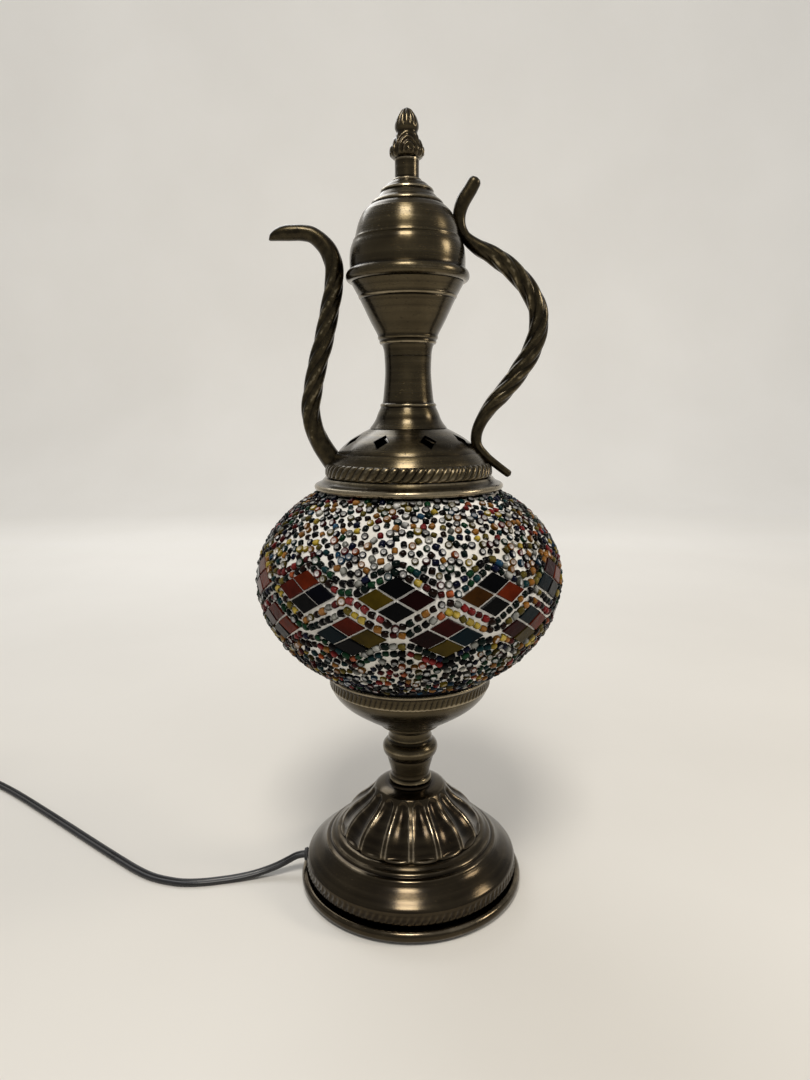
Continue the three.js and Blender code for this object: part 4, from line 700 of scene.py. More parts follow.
domeLine = [
    (40.4, 0), (40.2, 1.2), (39.5, 3.2), (38.4, 5.6), (36.3, 8.7), (33.4, 12), (30, 14.9), (26.9, 17.3),
    (24.4, 19.6), (22.5, 21.9), (21.1, 23.9), (20, 25.3), (18.4, 26.2), (16.4, 26.8), (14.2, 27.2), None,
    (12.8, 27.4), (12.6, 28.2), (12.6, 29),
]
spun(footKind, "fluted_dome_brass", "fluted_dome", domeLine, dome["columns"], dome["wall"], fluteRelief,
     step=0.55, sharp=50)

# stem and cup
stem = {"columns": 128, "wall": 4.6}
stemLine = [
    (11.4, 0), (12, 0.4), (12.1, 1.4), (11.8, 2.3), (11, 2.9), None, (10.8, 3.4), (10.9, 4.6), (11.4, 7),
    (12.2, 10), (13, 13), (13.3, 14.6), None, (13.5, 15), (13.8, 15.4), None, (14.4, 16), (15.2, 17.4),
    (15.65, 19.2), (15.7, 20.4), (15.3, 21.8), (14.2, 23.2), (12.9, 24.1), None, (12.4, 24.5), (12.1, 25.2),
    None, (12.3, 25.8), (12.5, 26.6), (12.2, 27.4), (12, 28.6), (12.2, 30), (12.2, 30.8),
]
spun(stemKind, "stem_turned", "stem_baluster", stemLine, stem["columns"], stem["wall"])
cup = {"columns": 192, "wall": 1.4, "ridges": 96, "bandColumns": 768}
cupLine = [
    (5.6, 0), None, (12.4, 0), (12.8, 0.4), (14.2, 1.7), (15.6, 2.7), None, (16.2, 2.7), (17.2, 3.1),
    (17.6, 3.9), (17.5, 4.4), None, (18.3, 4.6), (21.5, 6.8), (25.8, 9.5), (30, 12.3), (34.2, 15.2),
    (37.6, 17.9), (40.3, 20.6), (42.6, 23.5), (43.9, 26), (44.5, 27.6),
]
spun(stemKind, "cup_bowl", "globe_cup", cupLine, cup["columns"], cup["wall"])
cupBandLine = [
    (44.5, 27.6), None, (44.9, 27.9), (45.0, 28.6), (45.0, 31), (45.2, 33.2), (45.3, 33.8), None, (45.5, 34),
    (46, 34.5), (46, 35.3), (45.5, 35.8), (44.9, 35.8),
]
spun(stemKind, "cup_gadroon_band", "globe_cup", cupBandLine, cup["bandColumns"], cup["wall"],
     ridgeBand(cup["ridges"], 28, 33.7, 0.7, -0.12), stands=False)
print("foot, stem and cup made")

# globe: glass shell, white bedding, tiles and beads
globe = {"middle": 181.19, "radius": 81.5, "up": 56.6, "low": 62.5, "topRadius": 47.3, "bottomRadius": 48.3,
         "bed": 1.6, "bedRows": 70, "columns": 160}
glass = {"radius": 80.0, "up": 55.3, "low": 61.2, "wall": 2.5, "rows": 60,
         "seat": 38 / 80.3, "mouth": 41 / 80.3}
latitude = np.linspace(-1.4, 1.4, 2801)
depthAt = np.where(latitude > 0, globe["up"], globe["low"])
stride = np.hypot(globe["radius"] * np.sin(latitude), depthAt * np.cos(latitude))
arcAt = np.cumsum(stride) * (latitude[1] - latitude[0])
arcAt -= np.interp(0, latitude, arcAt)
arcTop = np.interp(np.arccos(globe["topRadius"] / globe["radius"]), latitude, arcAt)
arcBottom = np.interp(-np.arccos(globe["bottomRadius"] / globe["radius"]), latitude, arcAt)


# Angle above the equator at an arc length above it (mm)
def angleAt(arc):
    return np.interp(arc, arcAt, latitude)


# Point on the spheroid at an angle round (0 in front, + to the right) and an arc above the equator, lifted
# along the normal; gives points, normals and the level and upward tangents
def onGlobe(turn, arc, lift):
    angle = angleAt(arc)
    depth = np.where(angle > 0, globe["up"], globe["low"])
    nr, nz = np.cos(angle) / globe["radius"], np.sin(angle) / depth
    size = np.hypot(nr, nz)
    nr, nz = nr / size, nz / size
    r = globe["radius"] * np.cos(angle) + nr * lift
    z = globe["middle"] + depth * np.sin(angle) + nz * lift
    level = joined(np.cos(turn), np.sin(turn), 0)
    normal = joined(nr * np.sin(turn), -nr * np.cos(turn), nz)
    spot = joined(r * np.sin(turn), -r * np.cos(turn), z)
    return spot, normal, level, np.cross(normal, level)


# Wall of the glass: a spheroid of its own, less the thickness inside
def glassWall(inside):
    angle = np.linspace(-np.arccos(glass["seat"]), np.arccos(glass["mouth"]), glass["rows"])[:, None]
    depth = np.where(angle > 0, glass["up"], glass["low"]) - inside
    z = globe["middle"] + depth * np.sin(angle)
    return revolved((glass["radius"] - inside) * np.cos(angle), z, roundOf(globe["columns"] // 2)[None]) * mm


bedArc = np.linspace(arcBottom, arcTop, globe["bedRows"])[:, None]
bedTurn, bedArc = np.broadcast_arrays(roundOf(globe["columns"])[None], bedArc)
bedIn = onGlobe(bedTurn, bedArc, -globe["bed"])[0][::-3]
bedGrid = np.concatenate([onGlobe(bedTurn, bedArc, 0.0)[0], bedIn]) * mm
laid(beddingKind, "bedding_shell", bedGrid, "mosaic_coat", loops=True)
glassGrid = np.concatenate([glassWall(0), glassWall(glass["wall"])[::-1]])
laid(globeKind, "glass_shell", glassGrid, "globe_glass", loops=True)


# Linear colour from screen values
def screen(*colour):
    return (np.array(colour) / 255) ** 2.2


def tintedMesh(name, spots, faces, colours, finish, sharp):
    mesh = meshOf(name, spots * mm, faces)
    rgba = np.concatenate([colours, np.ones((len(colours), 1))], axis=1).astype(np.float32)
    mesh.attributes.new("tintAndShading", "FLOAT_COLOR", "POINT").data.foreach_set("color", rgba.ravel())
    return placed(finishMesh(name, mesh, finish, sharp), *beddingKind[1:])


# tiles: two staggered rows of diamonds, each of four flat rhombic glass tiles with white lines between
tiles = {"count": 11, "upperTurn": -4.2, "lowerTurn": 12.15, "upperArc": 6.3, "lowerArc": -12.6,
         "halfWide": 18.6, "halfTall": 10.8, "line": 0.46, "lift": 0.85, "bevel": 0.3, "sunk": 0.9}
tileTints = {
    "black": screen(7, 8, 10), "navy": screen(7, 9, 17), "maroon": screen(38, 9, 8),
    "darkMaroon": screen(26, 8, 8), "redBrown": screen(66, 21, 10), "rust": screen(80, 29, 10),
    "olive": screen(58, 48, 13), "brown": screen(54, 34, 13), "teal": screen(6, 22, 27),
}
# named from top, left, right, bottom, for the diamonds that show in front; the rest are drawn by lot
frontTiles = {
    "upper": {-1: ("rust", "redBrown", "navy", "black"), 0: ("black", "olive", "darkMaroon", "black"),
              1: ("black", "brown", "rust", "black"), 2: ("maroon", "teal", "rust", "black")},
    "lower": {-2: ("redBrown", "maroon", "rust", "black"), -1: ("redBrown", "teal", "olive", "black"),
              0: ("maroon", "darkMaroon", "teal", "olive"), 1: ("teal", "maroon", "rust", "olive")},
}
tileHalf = np.array([tiles["halfWide"], tiles["halfTall"]])
cells = np.array([(0, 0.5), (-0.5, 0), (0.5, 0), (0, -0.5)]) * tileHalf
rhomb = np.array([(0, -0.5), (0.5, 0), (0, 0.5), (-0.5, 0)])
acrossTile = tileHalf[0] * tileHalf[1] / np.hypot(*tileHalf)


# One tile: its outline on the globe is dropped onto the plane at its middle; rows are foot, shoulder, face
def flatTile(turn, arc, grow):
    middle, normal = (found[0] for found in onGlobe(np.array([turn]), np.array([arc]), 0.0)[:2])
    radiusHere = globe["radius"] * np.cos(angleAt(arc))
    rows = []
    bevel, face = tiles["bevel"], tiles["lift"]
    for inset, lift in ((0, -tiles["sunk"]), (0, face - bevel), (bevel, face)):
        spot = rhomb * (1 - 2 * (tiles["line"] + inset) / acrossTile) * tileHalf * grow
        ring = onGlobe(turn + spot[:, 0] / radiusHere, arc + spot[:, 1], lift)[0]
        if lift > 0:
            ring = ring + ((middle + lift * normal - ring) @ normal)[:, None] * normal
        rows.append(ring)
    return np.array(rows)


tileSpots = []
tileColours = []
for row in ("upper", "lower"):
    for k in range(-5, 6):
        names = frontTiles[row].get(k) or dice.choice(list(tileTints), 4)
        rowTurn = np.radians(tiles[row + "Turn"] + 360 / tiles["count"] * k + dice.uniform(-0.5, 0.5))
        rowArc = tiles[row + "Arc"] + dice.uniform(-0.3, 0.3)
        for name, (aside, above) in zip(names, cells):
            turn = rowTurn + aside / globe["radius"]
            tileSpots.append(flatTile(turn, rowArc + above, dice.uniform(0.97, 1.02)))
            tileColours.append(tileTints[name] * dice.uniform(0.85, 1.2))
oneTile = np.vstack([gridQuads(3, 4, False), [[8, 9, 10, 11], [3, 2, 1, 0]]])
tileFaces = ((np.arange(len(tileSpots)) * 12)[:, None, None] + oneTile[None]).reshape(-1, 4).tolist()
tintedMesh("glass_tiles", np.array(tileSpots), tileFaces, np.repeat(tileColours, 12, axis=0), tileGlass, 20)
print("tiles laid,", len(tileSpots))

# beads: short glass tubes, some with the hole facing out, some on their side, each of a few dozen faces
bead = {"section": [(1.95, 0.62), (1.45, 1.08), (0.72, 0.5), (0.72, -0.5), (1.45, -1.08), (1.95, -0.62)],
        "inward": [0, 0.35, 1, 1, 0.35, 0], "around": 8, "sizes": (0.86, 1.1), "squash": 0.86, "long": 1.5,
        "faceTilt": (0, 0.4), "lieTilt": (1.3, 1.57), "space": 3.2, "apart": 3.85, "rowStep": 4.0,
        "rowOut": 2.1, "rowGrow": 1.1, "slope": 0.58, "ownShare": 0.78, "fromRow": 3.4, "keptFromRow": 3.5,
        "fromEnd": 1.4, "rounds": 110, "throws": 420}
# colour and weight in the lot
beadTints = {
    "greenBlack": (screen(12, 27, 23), 16), "black": (screen(14, 13, 15), 9), "navy": (screen(15, 21, 50), 9),
    "brownBlack": (screen(34, 20, 13), 13), "teal": (screen(12, 58, 62), 8), "blue": (screen(30, 76, 106), 3),
    "darkRed": (screen(82, 12, 11), 6), "red": (screen(134, 18, 16), 4), "orange": (screen(176, 80, 18), 3),
    "amber": (screen(164, 106, 24), 8), "olive": (screen(106, 92, 24), 9),
    "yellow": (screen(206, 176, 50), 5), "green": (screen(18, 64, 38), 6),
    "clear": (screen(122, 123, 112), 5), "pearl": (screen(220, 216, 200), 1),
}
families = [
    ("teal", "green", "greenBlack", "black"), ("amber", "olive", "yellow", "brownBlack"),
    ("darkRed", "red", "brownBlack", "red"), ("navy", "black", "greenBlack", "clear"),
    ("olive", "brownBlack", "amber", "clear"),
]
tintTable = np.array([colour for colour, weight in beadTints.values()])
weights = np.array([weight for colour, weight in beadTints.values()], float)
weights /= weights.sum()
family = np.array([[list(beadTints).index(name) for name in group] for group in families])
girth = fullTurn * globe["radius"]


def drawnTints(count):
    return dice.choice(len(tintTable), count, p=weights)


# Zigzag lines of beads beside the diamonds: height falls with the distance from a diamond's middle, and is
# level where two neighbours meet
def zigzag(row, side, offset, level):
    period = girth / tiles["count"]
    x = np.linspace(0, girth, 4000)
    middle = np.radians(tiles[row + "Turn"]) * globe["radius"]
    away = bead["slope"] * np.abs((x - middle + period / 2) % period - period / 2)
    reach = tiles["halfTall"] + bead["rowOut"] + offset
    rise = np.maximum(reach - away, level) if side > 0 else np.minimum(away - reach, level)
    line = evenly(joined(x, tiles[row + "Arc"] + rise), bead["rowStep"])[:-1]
    return line, np.floor(((line[:, 0] - middle) / period) * 2).astype(int)


rowSpecs = [("upper", 1, 4.3, 6.3), ("upper", 1, 0, 2.1), ("upper", -1, 0.8, -1.8), ("lower", 1, 0.4, 2.3),
            ("lower", -1, 0, -3.6), ("lower", -1, 4.2, -7.8)]
rowSpots = []
rowTints = []
rowLeans = []
for number, spec in enumerate(rowSpecs):
    line, segment = zigzag(*spec)
    run = np.roll(line, -1, axis=0) - line
    rowLeans.append(np.arctan2(run[:, 1], np.abs(run[:, 0])) + dice.normal(0, 0.2, len(line)))
    rowSpots.append(line + dice.normal(0, 0.16, line.shape))
    groups = family[(segment * 3 + number * 2) % len(families)]
    own = groups[np.arange(len(line)), dice.integers(0, 4, len(line))]
    stray = drawnTints(len(line))
    rowTints.append(np.where(dice.random(len(line)) < bead["ownShare"], own, stray))
upperEdge = zigzag(*rowSpecs[0])[0]
lowerEdge = zigzag(*rowSpecs[-1])[0]
rowSpots = np.vstack(rowSpots)
rowPlaces = onGlobe(rowSpots[:, 0] / globe["radius"], rowSpots[:, 1], 0.0)[0]


# Loose beads: darts thrown over the area in rounds, kept where they clear every bead kept so far
def looseBeads(low, high, edge):
    kept = rowPlaces
    for _ in range(bead["rounds"]):
        angle = dice.uniform(angleAt(low), angleAt(high), bead["throws"])
        fair = dice.random(bead["throws"]) < np.cos(angle)
        arc = np.interp(angle, latitude, arcAt)[fair]
        x = dice.uniform(0, girth, bead["throws"])[fair]
        limit = np.interp(x, *edge.T)
        clear = arc > limit + bead["fromRow"] if high > 0 else arc < limit - bead["fromRow"]
        arc, x = arc[clear], x[clear]
        spots = onGlobe(x / globe["radius"], arc, 0.0)[0]
        far = (np.linalg.norm(spots[:, None] - kept[None], axis=-1) > bead["space"]).all(axis=1)
        arc, x, spots = arc[far], x[far], spots[far]
        apart = np.linalg.norm(spots[:, None] - spots[None], axis=-1) > bead["space"]
        free = (apart | ~np.tri(len(spots), k=-1, dtype=bool)).all(axis=1)
        kept = np.vstack([kept, spots[free]])
        yield joined(x[free], arc[free])


# Beads that crowd each other move apart a little at a time, along the line between them, in the same bounds
def movedApart(spots, low, high, edge):
    for _ in range(10):
        near = np.vstack([spots, rowSpots])
        scale = np.cos(angleAt(spots[:, 1]))[:, None]
        gap = spots[:, None] - near[None]
        gap[..., 0] = ((gap[..., 0] + girth / 2) % girth - girth / 2) * scale
        distance = np.linalg.norm(gap, axis=-1) + 99 * np.eye(len(spots), len(near))
        push = np.clip(bead["apart"] / distance - 1, 0, 0.5)
        move = 0.4 * (push[..., None] * gap).sum(axis=1)
        spots = spots + move / np.hstack([scale, np.ones_like(scale)])
        limit = np.interp(spots[:, 0] % girth, *edge.T)
        bounds = (limit + bead["keptFromRow"], high) if high > 0 else (low, limit - bead["keptFromRow"])
        spots[:, 1] = np.clip(spots[:, 1], *bounds)
    return spots


areas = [(0.0, arcTop - bead["fromEnd"], upperEdge), (arcBottom + bead["fromEnd"], 0.0, lowerEdge)]
upperSpots, lowerSpots = (movedApart(np.vstack(list(looseBeads(*area))), *area) for area in areas)

# one ring of the section's corners, with its faces out, and how far in towards the hole each corner is
around, corners = bead["around"], len(bead["section"])
reach, height = np.array(bead["section"]).T[:, None]
ring = revolved(reach, height, roundOf(around)[:, None]).reshape(-1, 3)
ringQuads = np.roll(gridQuads(around, corners, True)[:, ::-1], 1, axis=1)
inward = np.tile(np.array(bead["inward"]), around)


# Every bead at once: the ring turned into its own frame (side, third, axis) and set on the globe; its colour
# carries painted light: painted shade at the foot and rim, the tint on the shoulders, and a painted glow of
# light through the glass round the hole and on the crest of those that lie
def beadPiece(name, spots, tints, facing, grow=1.0, leans=None):
    count = len(spots)
    places, normal, level, up = onGlobe(spots[:, 0] / globe["radius"], spots[:, 1], 0.0)
    lean = dice.uniform(0, fullTurn, count) if leans is None else leans
    aside = level * np.cos(lean)[:, None] + up * np.sin(lean)[:, None]
    faces = dice.random(count) < facing
    tilt = np.where(faces, dice.uniform(*bead["faceTilt"], count), dice.uniform(*bead["lieTilt"], count))
    axis = normal * np.cos(tilt)[:, None] + aside * np.sin(tilt)[:, None]
    side = unit(np.cross(axis, normal + 0.3 * level))
    frames = np.stack([side, np.cross(axis, side), axis], axis=1)
    size = dice.uniform(*bead["sizes"], count) * grow
    rise = np.where(faces, 0.3, -0.15) + dice.uniform(-0.12, 0.12, count)
    stretch = np.where(faces[:, None], [1, 1, 1], [bead["squash"], bead["squash"], bead["long"]])
    shape = np.einsum("bvk,bkx->bvx", ring[None] * (size[:, None] * stretch)[:, None], frames)
    lifted = np.einsum("bvx,bx->bv", shape, normal)
    crest = np.clip(lifted / (bead["squash"] * bead["section"][0][0]), 0, 1)
    colour = tintTable[tints] * dice.uniform(0.75, 1.25, (count, 1))
    bright = colour.max(axis=1, keepdims=True)
    grey = np.maximum(colour.min(axis=1, keepdims=True) / np.sqrt(bright) - 0.06, 0)
    # painted light: shade darkens the rim and foot, and pale is a painted glow round the hole and a painted
    # highlight on the crest of lying beads
    shade = np.where(faces[:, None], 0.2 + 0.5 * inward, 0.1 + 0.5 * crest ** 2)
    pale = np.where(faces[:, None], inward ** 5, (0.15 * bright + 1.1 * grey) * crest ** 8)
    pale = (pale * dice.uniform(0.4, 1, (count, 1)))[..., None]
    tintWithPaintedLight = np.clip(colour[:, None] * shade[..., None] * (1 - pale) + 0.85 * pale, 0, 1)
    quads = (np.arange(count) * len(ring))[:, None, None] + ringQuads[None]
    spotsOut = shape + (places + normal * rise[:, None])[:, None]
    tintedMesh(name, spotsOut, quads.reshape(-1, 4).tolist(), tintWithPaintedLight.reshape(-1, 3), beadGlass, 80)


beadPiece("beads_in_rows", rowSpots, np.concatenate(rowTints), 0.12, bead["rowGrow"],
          np.concatenate(rowLeans))
beadPiece("beads_above", upperSpots, drawnTints(len(upperSpots)), 0.5)
beadPiece("beads_below", lowerSpots, drawnTints(len(lowerSpots)), 0.4)
print("beads laid,", len(rowSpots), len(upperSpots), len(lowerSpots))

# cap: skirt, shoulder with rope band and vents, neck, funnel, band, crown
cap = {"columns": 192, "wall": 1.4, "ropeRidges": 60, "ropeColumns": 660}
skirtLine = [
    (36.2, 0), None, (37.5, 0), (37.6, 0.3), (37.6, 7.9), None, (37.6, 8.0), (41.2, 8.0), (44.5, 8),
    (48.6, 7.9), (49.6, 7.9), None, (50.2, 8.3), (50.6, 9.2), (50.5, 10.2), (49.8, 10.9), (48.6, 11.4),
    (47.2, 12.0), (46.2, 12.9), (45.5, 13.7), (45, 14.2), None, (33.2, 14.2), None, (33.2, 12.9), None,
    (36.2, 12.9), None, (36.2, 0),
]
ringLoop(capKind, "skirt_brass", "rim_skirt", profileLine(skirtLine, 0.45)[:-1], cap["columns"])
ropeLine = [
    (43.4, 0), (44.1, 0.5), (44.5, 1.6), (44.5, 3.2), (44.3, 4.8), (43.8, 6.1), (43.2, 6.9), None,
    (42.5, 7.2), (42.1, 7.5),
]
spun(capKind, "shoulder_rope", "shoulder_cap", ropeLine, cap["ropeColumns"], cap["wall"],
     ridgeBand(cap["ropeRidges"], 0.2, 7.6, 1.2, -0.14), stands=False, step=0.4)
shoulderLine = [
    (42.1, 7.5), (41.4, 8.6), (40.2, 10.3), (38.9, 11.9), (38.2, 12.6), None, (37.8, 12.6), (37.4, 13.3),
    None, (36.6, 14.4), (34.4, 16.5), (31.9, 18.6), (29, 20.6), (26, 22.3), (23.6, 23.6), (21.6, 24.6),
    (20.6, 25.1),
]
vents = {"count": 8, "turnDeg": -4.2, "wide": 4.5, "tall": 5.9, "power": 1.15, "rise": 19.4, "radius": 30.6,
         "tiltDeg": 58, "deep": 8.0, "columns": 24}


# Four-pointed stars with hollow sides, x = wide cos|cos|^n and y = tall sin|sin|^n, cut through the shoulder
def ventStars():
    columns = vents["columns"]
    cos, sin = np.cos(roundOf(columns)), np.sin(roundOf(columns))
    x = vents["wide"] * cos * np.abs(cos) ** vents["power"]
    y = vents["tall"] * sin * np.abs(sin) ** vents["power"]
    tilt = np.radians(vents["tiltDeg"])
    spots = []
    faces = []
    for k in range(vents["count"]):
        turn = np.radians(vents["turnDeg"] - 90 + 360 * (k + 0.5) / vents["count"])
        out = np.array([np.cos(turn) * np.cos(tilt), np.sin(turn) * np.cos(tilt), np.sin(tilt)])
        level = np.array([-np.sin(turn), np.cos(turn), 0])
        middle = np.array([vents["radius"] * np.cos(turn), vents["radius"] * np.sin(turn), vents["rise"]])
        for depth in (-vents["deep"], vents["deep"]):
            spots.append(middle + depth * out + x[:, None] * level + y[:, None] * np.cross(out, level))
        star = 2 * columns * k + np.arange(2 * columns)
        faces += (2 * columns * k + gridQuads(2, columns, False)).tolist()
        faces += [star[:columns][::-1].tolist(), star[columns:].tolist()]
    return linked("vents", meshOf("vents", np.vstack(spots) * mm + [0, 0, footOf["shoulder_cap"]], faces))


shoulder = turned("shoulder_dome", shoulderLine, footOf["shoulder_cap"], cap["columns"], cap["wall"],
                  capBrass, step=0.6)
placed(cutBy(shoulder, ventStars()), *capKind[1:], "shoulder_cap")
# node, columns, wall and profile of the plain shells
shells = {
    "neck_brass": ("neck_shell", 144, 1.4, [
        (20.6, 0), (20.2, 0.5), (19.4, 1.5), (18.3, 3), (17.2, 5), (16.3, 7.4), (15.3, 9.6), (14.7, 10.8),
        None, (14.5, 11), (14.8, 11.4), (14.8, 12.3), (14.3, 12.8), None, (13.7, 13.1), (13.4, 14.6),
        (13, 18), (12.5, 23), (12.15, 27.5), (12.1, 31), (12.2, 34), (12.35, 36.9),
    ]),
    "funnel_brass": ("funnel_shell", 160, 1.4, [
        (12.35, 0), (12.6, 2.5), (13.2, 5), (13.7, 5.9), None, (14.5, 6.1), (14.9, 6.9), (14.8, 7.9), None,
        (15.1, 8.3), (15.6, 8.9), (15.7, 9.9), None, (15.6, 10.3), (16.2, 11.6), (17.5, 14), (19.6, 18),
        (22, 23), (23.8, 26.8), (24.4, 28), None, (24.3, 28.4), (25.1, 28.9), (25.6, 30), None,
        (25.5, 30.4), (26.3, 31.6), (27.3, 33.4), (28.3, 35.2), (28.9, 36.5),
    ]),
    "band_brass": ("dome_band", 160, 1.8, [
        (28.9, 0), (29.8, 0.1), (31, 0.7), (31.7, 1.7), (31.9, 2.9), (31.7, 4.1), (31.1, 5.2), (30.3, 6),
        None, (30, 6.2), (29.75, 7.2), (29.75, 10), (29.65, 13), (29.3, 15.8), (28.7, 18), (28.1, 19.4),
        (27.9, 20.3),
    ]),
    "crown_brass": ("dome_crown", 160, 1.4, [
        (27.3, 0), (27.3, 0.5), (26.9, 1.2), None, (26.8, 1.5), (26.5, 2.6), (26.0, 4.8), (25.3, 7.2),
        (24.3, 9.8), (22.9, 12.6), (22.4, 13.4), None, (22.1, 13.6), (20.8, 15), (19.4, 16.1), None,
        (18.8, 16.3), (18.3, 16.8), None, (18.5, 17.2), (18.1, 18), (17.2, 18.8), (16.3, 19.4), None,
        (15.9, 19.6), (15.3, 20.4), (14.4, 21.4), (13.6, 22.3), None, (13.2, 22.4), (13.1, 22.9), None,
        (13.5, 23.3), (13.2, 24.2), (12.3, 24.9), None, (11.9, 25), (11.3, 25.7), (10.6, 26.4), (9.7, 27.1),
        (8.6, 27.7), None, (8.2, 28), None, (3.4, 28),
    ]),
    "finial_tube_brass": ("finial_tube", 96, 0.9, [
        (3.4, -2), None, (6.9, -2), (7.3, -1.75), (7.4, -1.35), (7.1, -0.9), (6.5, -0.6), None,
        (6.15, -0.4), (6.1, 1), (6.1, 6), (6.15, 8.6), None, (3.4, 8.6),
    ]),
}
for name, (node, columns, wall, points) in shells.items():
    spun(capKind, name, node, points, columns, wall)
finial = {"columns": 200, "leaves": 4, "leafTurn": 0.434, "leafFoot": 2.2, "flutes": 12}


# Knop: four leaves of nested arcs, cos of the distance from each leaf's foot; bud: upright flutes
def finialRelief(angle, radius, height):
    h = height / mm
    t = (finial["leaves"] * angle / fullTurn + finial["leafTurn"]) % 1 - 0.5
    distance = np.hypot(t * 2.1, (h - finial["leafFoot"]) / 8.6)
    arcs = 0.5 + 0.5 * np.cos(fullTurn * 2.6 * distance)
    knop = 1 - eased(h, 9.4, 11.4)
    flute = np.abs(np.cos(finial["flutes"] / 2 * angle)) ** 0.7
    bud = eased(h, 13.6, 16.4) * (1 - eased(h, 22.2, 23.6))
    rise = 0.8 * (arcs - 0.6) * knop * eased(h, 0.2, 2.4) + 0.6 * (flute - 0.6) * bud
    return rise * mm, 0.36 * (arcs - 0.75) * knop + 0.36 * (flute - 0.75) * bud


finialLine = [
    (0, 0), None, (6.2, 0), (7.4, 0.5), (8.3, 1.7), (8.6, 3.2), (8.3, 5), (7.4, 7), (6.3, 9.2), (5.5, 11.2),
    (5.3, 12.2), (5.6, 13.2), (5.95, 14.2), (5.85, 15.4), (5.4, 17.2), (4.7, 19.2), (3.6, 21), (2.3, 22.6),
    (1.0, 23.6), (0, 24),
]
spun(capKind, "finial_carved", "finial", finialLine, finial["columns"], 0, finialRelief, step=0.35)
print("cap made")

# spout and handle: bars of five strands, twisted like rope in the middle; thickness and groove are given at
# shares of the length, points as shares of the reach and of the cap's height
arm = {"radius": 5.2, "strands": 5, "groove": 0.13, "pitch": 66.0, "columns": 80, "step": 0.9}
capFoot = footOf["shoulder_cap"] / mm
capSpan = footOf["dome_crown"] / mm - capFoot
spout = {
    "root": 44.2, "reach": 26.2, "ends": (0.01, 0.01),
    "nose": (-60.2, -71, capFoot + capSpan * 1.036 - 0.75 * arm["radius"]),  # begin, tip and underside
    "thick": [(0, 0.74), (0.16, 0.78), (0.24, 0.92), (0.5, 1), (0.85, 0.98), (1, 1.08)],
    "groove": [(0, 0), (0.2, 0.05), (0.32, 1), (0.8, 1), (0.9, 0.2), (1, 0)],
    "line": [
        (1.02, 1.036), (0.83, 1.036), (0.63, 1.036), (0.37, 1.036), (0.17, 1.027), (-0.02, 0.996),
        (-0.15, 0.96), (-0.23, 0.914), (-0.25, 0.866), (-0.23, 0.817), (-0.19, 0.768), (-0.14, 0.719),
        (-0.07, 0.648), (0.01, 0.577), (0.11, 0.505), (0.18, 0.44), (0.24, 0.374), (0.285, 0.316),
        (0.285, 0.264), (0.23, 0.212), (0.12, 0.152), (-0.05, 0.092), (-0.2, 0.045),
    ],
}
handle = {
    "root": 44.2, "inward": 17, "reach": 36.1, "aside": 7, "ends": (3.0, 1.6), "nose": None,
    "thick": [(0, 0.64), (0.06, 0.72), (0.12, 0.62), (0.165, 0.55), (0.22, 0.8), (0.28, 0.96), (0.62, 1),
              (0.72, 0.9), (0.8, 0.64), (0.87, 0.54), (0.92, 0.42), (1, 0.38)],
    "groove": [(0, 0), (0.2, 0.1), (0.28, 1), (0.7, 1), (0.82, 0.2), (1, 0)],
    "line": [
        (0.343, 0, 1.254), (0.231, 0, 1.206), (0.109, 0, 1.158), (0.03, 0, 1.105), (0.02, 0, 1.056),
        (0.075, 0, 1.016), (0.216, 0, 0.977), (0.432, 0, 0.94), (0.618, 0, 0.898), (0.798, 0, 0.84),
        (0.943, 0, 0.764), (0.99, 0, 0.696), (0.945, 0, 0.619), (0.805, -0.07, 0.532),
        (0.608, -0.14, 0.454), (0.397, -0.29, 0.383), (0.154, -0.5, 0.313), (-0.045, -0.71, 0.242),
        (-0.149, -0.86, 0.18), (-0.16, -0.94, 0.136), (-0.06, -1, 0.092), (0.1, -1, 0.047),
        (0.277, -0.93, 0.003),
    ],
}


# Section: r = R (1 - g (1 - |cos na/2|^0.8)) for n strands, turned once per pitch and drawn in along an
# ellipse at both ends; a nose keeps the height of its underside, and the rest falls to that as an ellipse
def twistedArm(name, node, points, setting):
    path = smoothCurve(points, arm["step"])
    run = runAlong(path)
    share = run / run[-1]
    size = arm["radius"] * np.interp(share, *np.array(setting["thick"]).T)
    for fromEnd, end in zip((run, run[-1] - run), setting["ends"]):
        size *= np.sqrt(np.clip(1 - np.maximum(1 - fromEnd / end, 0) ** 2, 0.004, 1))
    hollow = arm["groove"] * np.interp(share, *np.array(setting["groove"]).T)
    angle = roundOf(arm["columns"])[None]
    ridge = np.abs(np.cos(arm["strands"] / 2 * angle)) ** 0.8
    r = size[:, None] * (1 - hollow[:, None] * (1 - ridge))
    turn = angle + (fullTurn * run / arm["pitch"])[:, None]
    rings = sweptRings(path * mm, r * np.cos(turn) * mm, r * np.sin(turn) * mm, side=(0, 1.0, 0))
    # colour: darker in the valleys and lighter on the strands, with a narrow bright line along each crest:
    # painted shade and painted highlights, with wear on the rubbed crests
    wear = 0.42 + (hollow[:, None] / arm["groove"]) * (0.3 * ridge + 0.22 * ridge ** 8 - 0.2)
    wear = np.vstack([wear[:1], wear, wear[-1:]])
    if setting["nose"]:
        begin, tip, under = np.array(setting["nose"]) * mm
        along = np.clip((rings[..., 0] - begin) / (tip - begin), 0, 0.999)
        fall = np.sqrt(1 - along ** 2)
        rings[..., 1] *= np.sqrt(fall)
        rings[..., 2] = under + (rings[..., 2] - under) * fall
    return laid(armKind, name, rings, node, wear=wear, sharp=70)


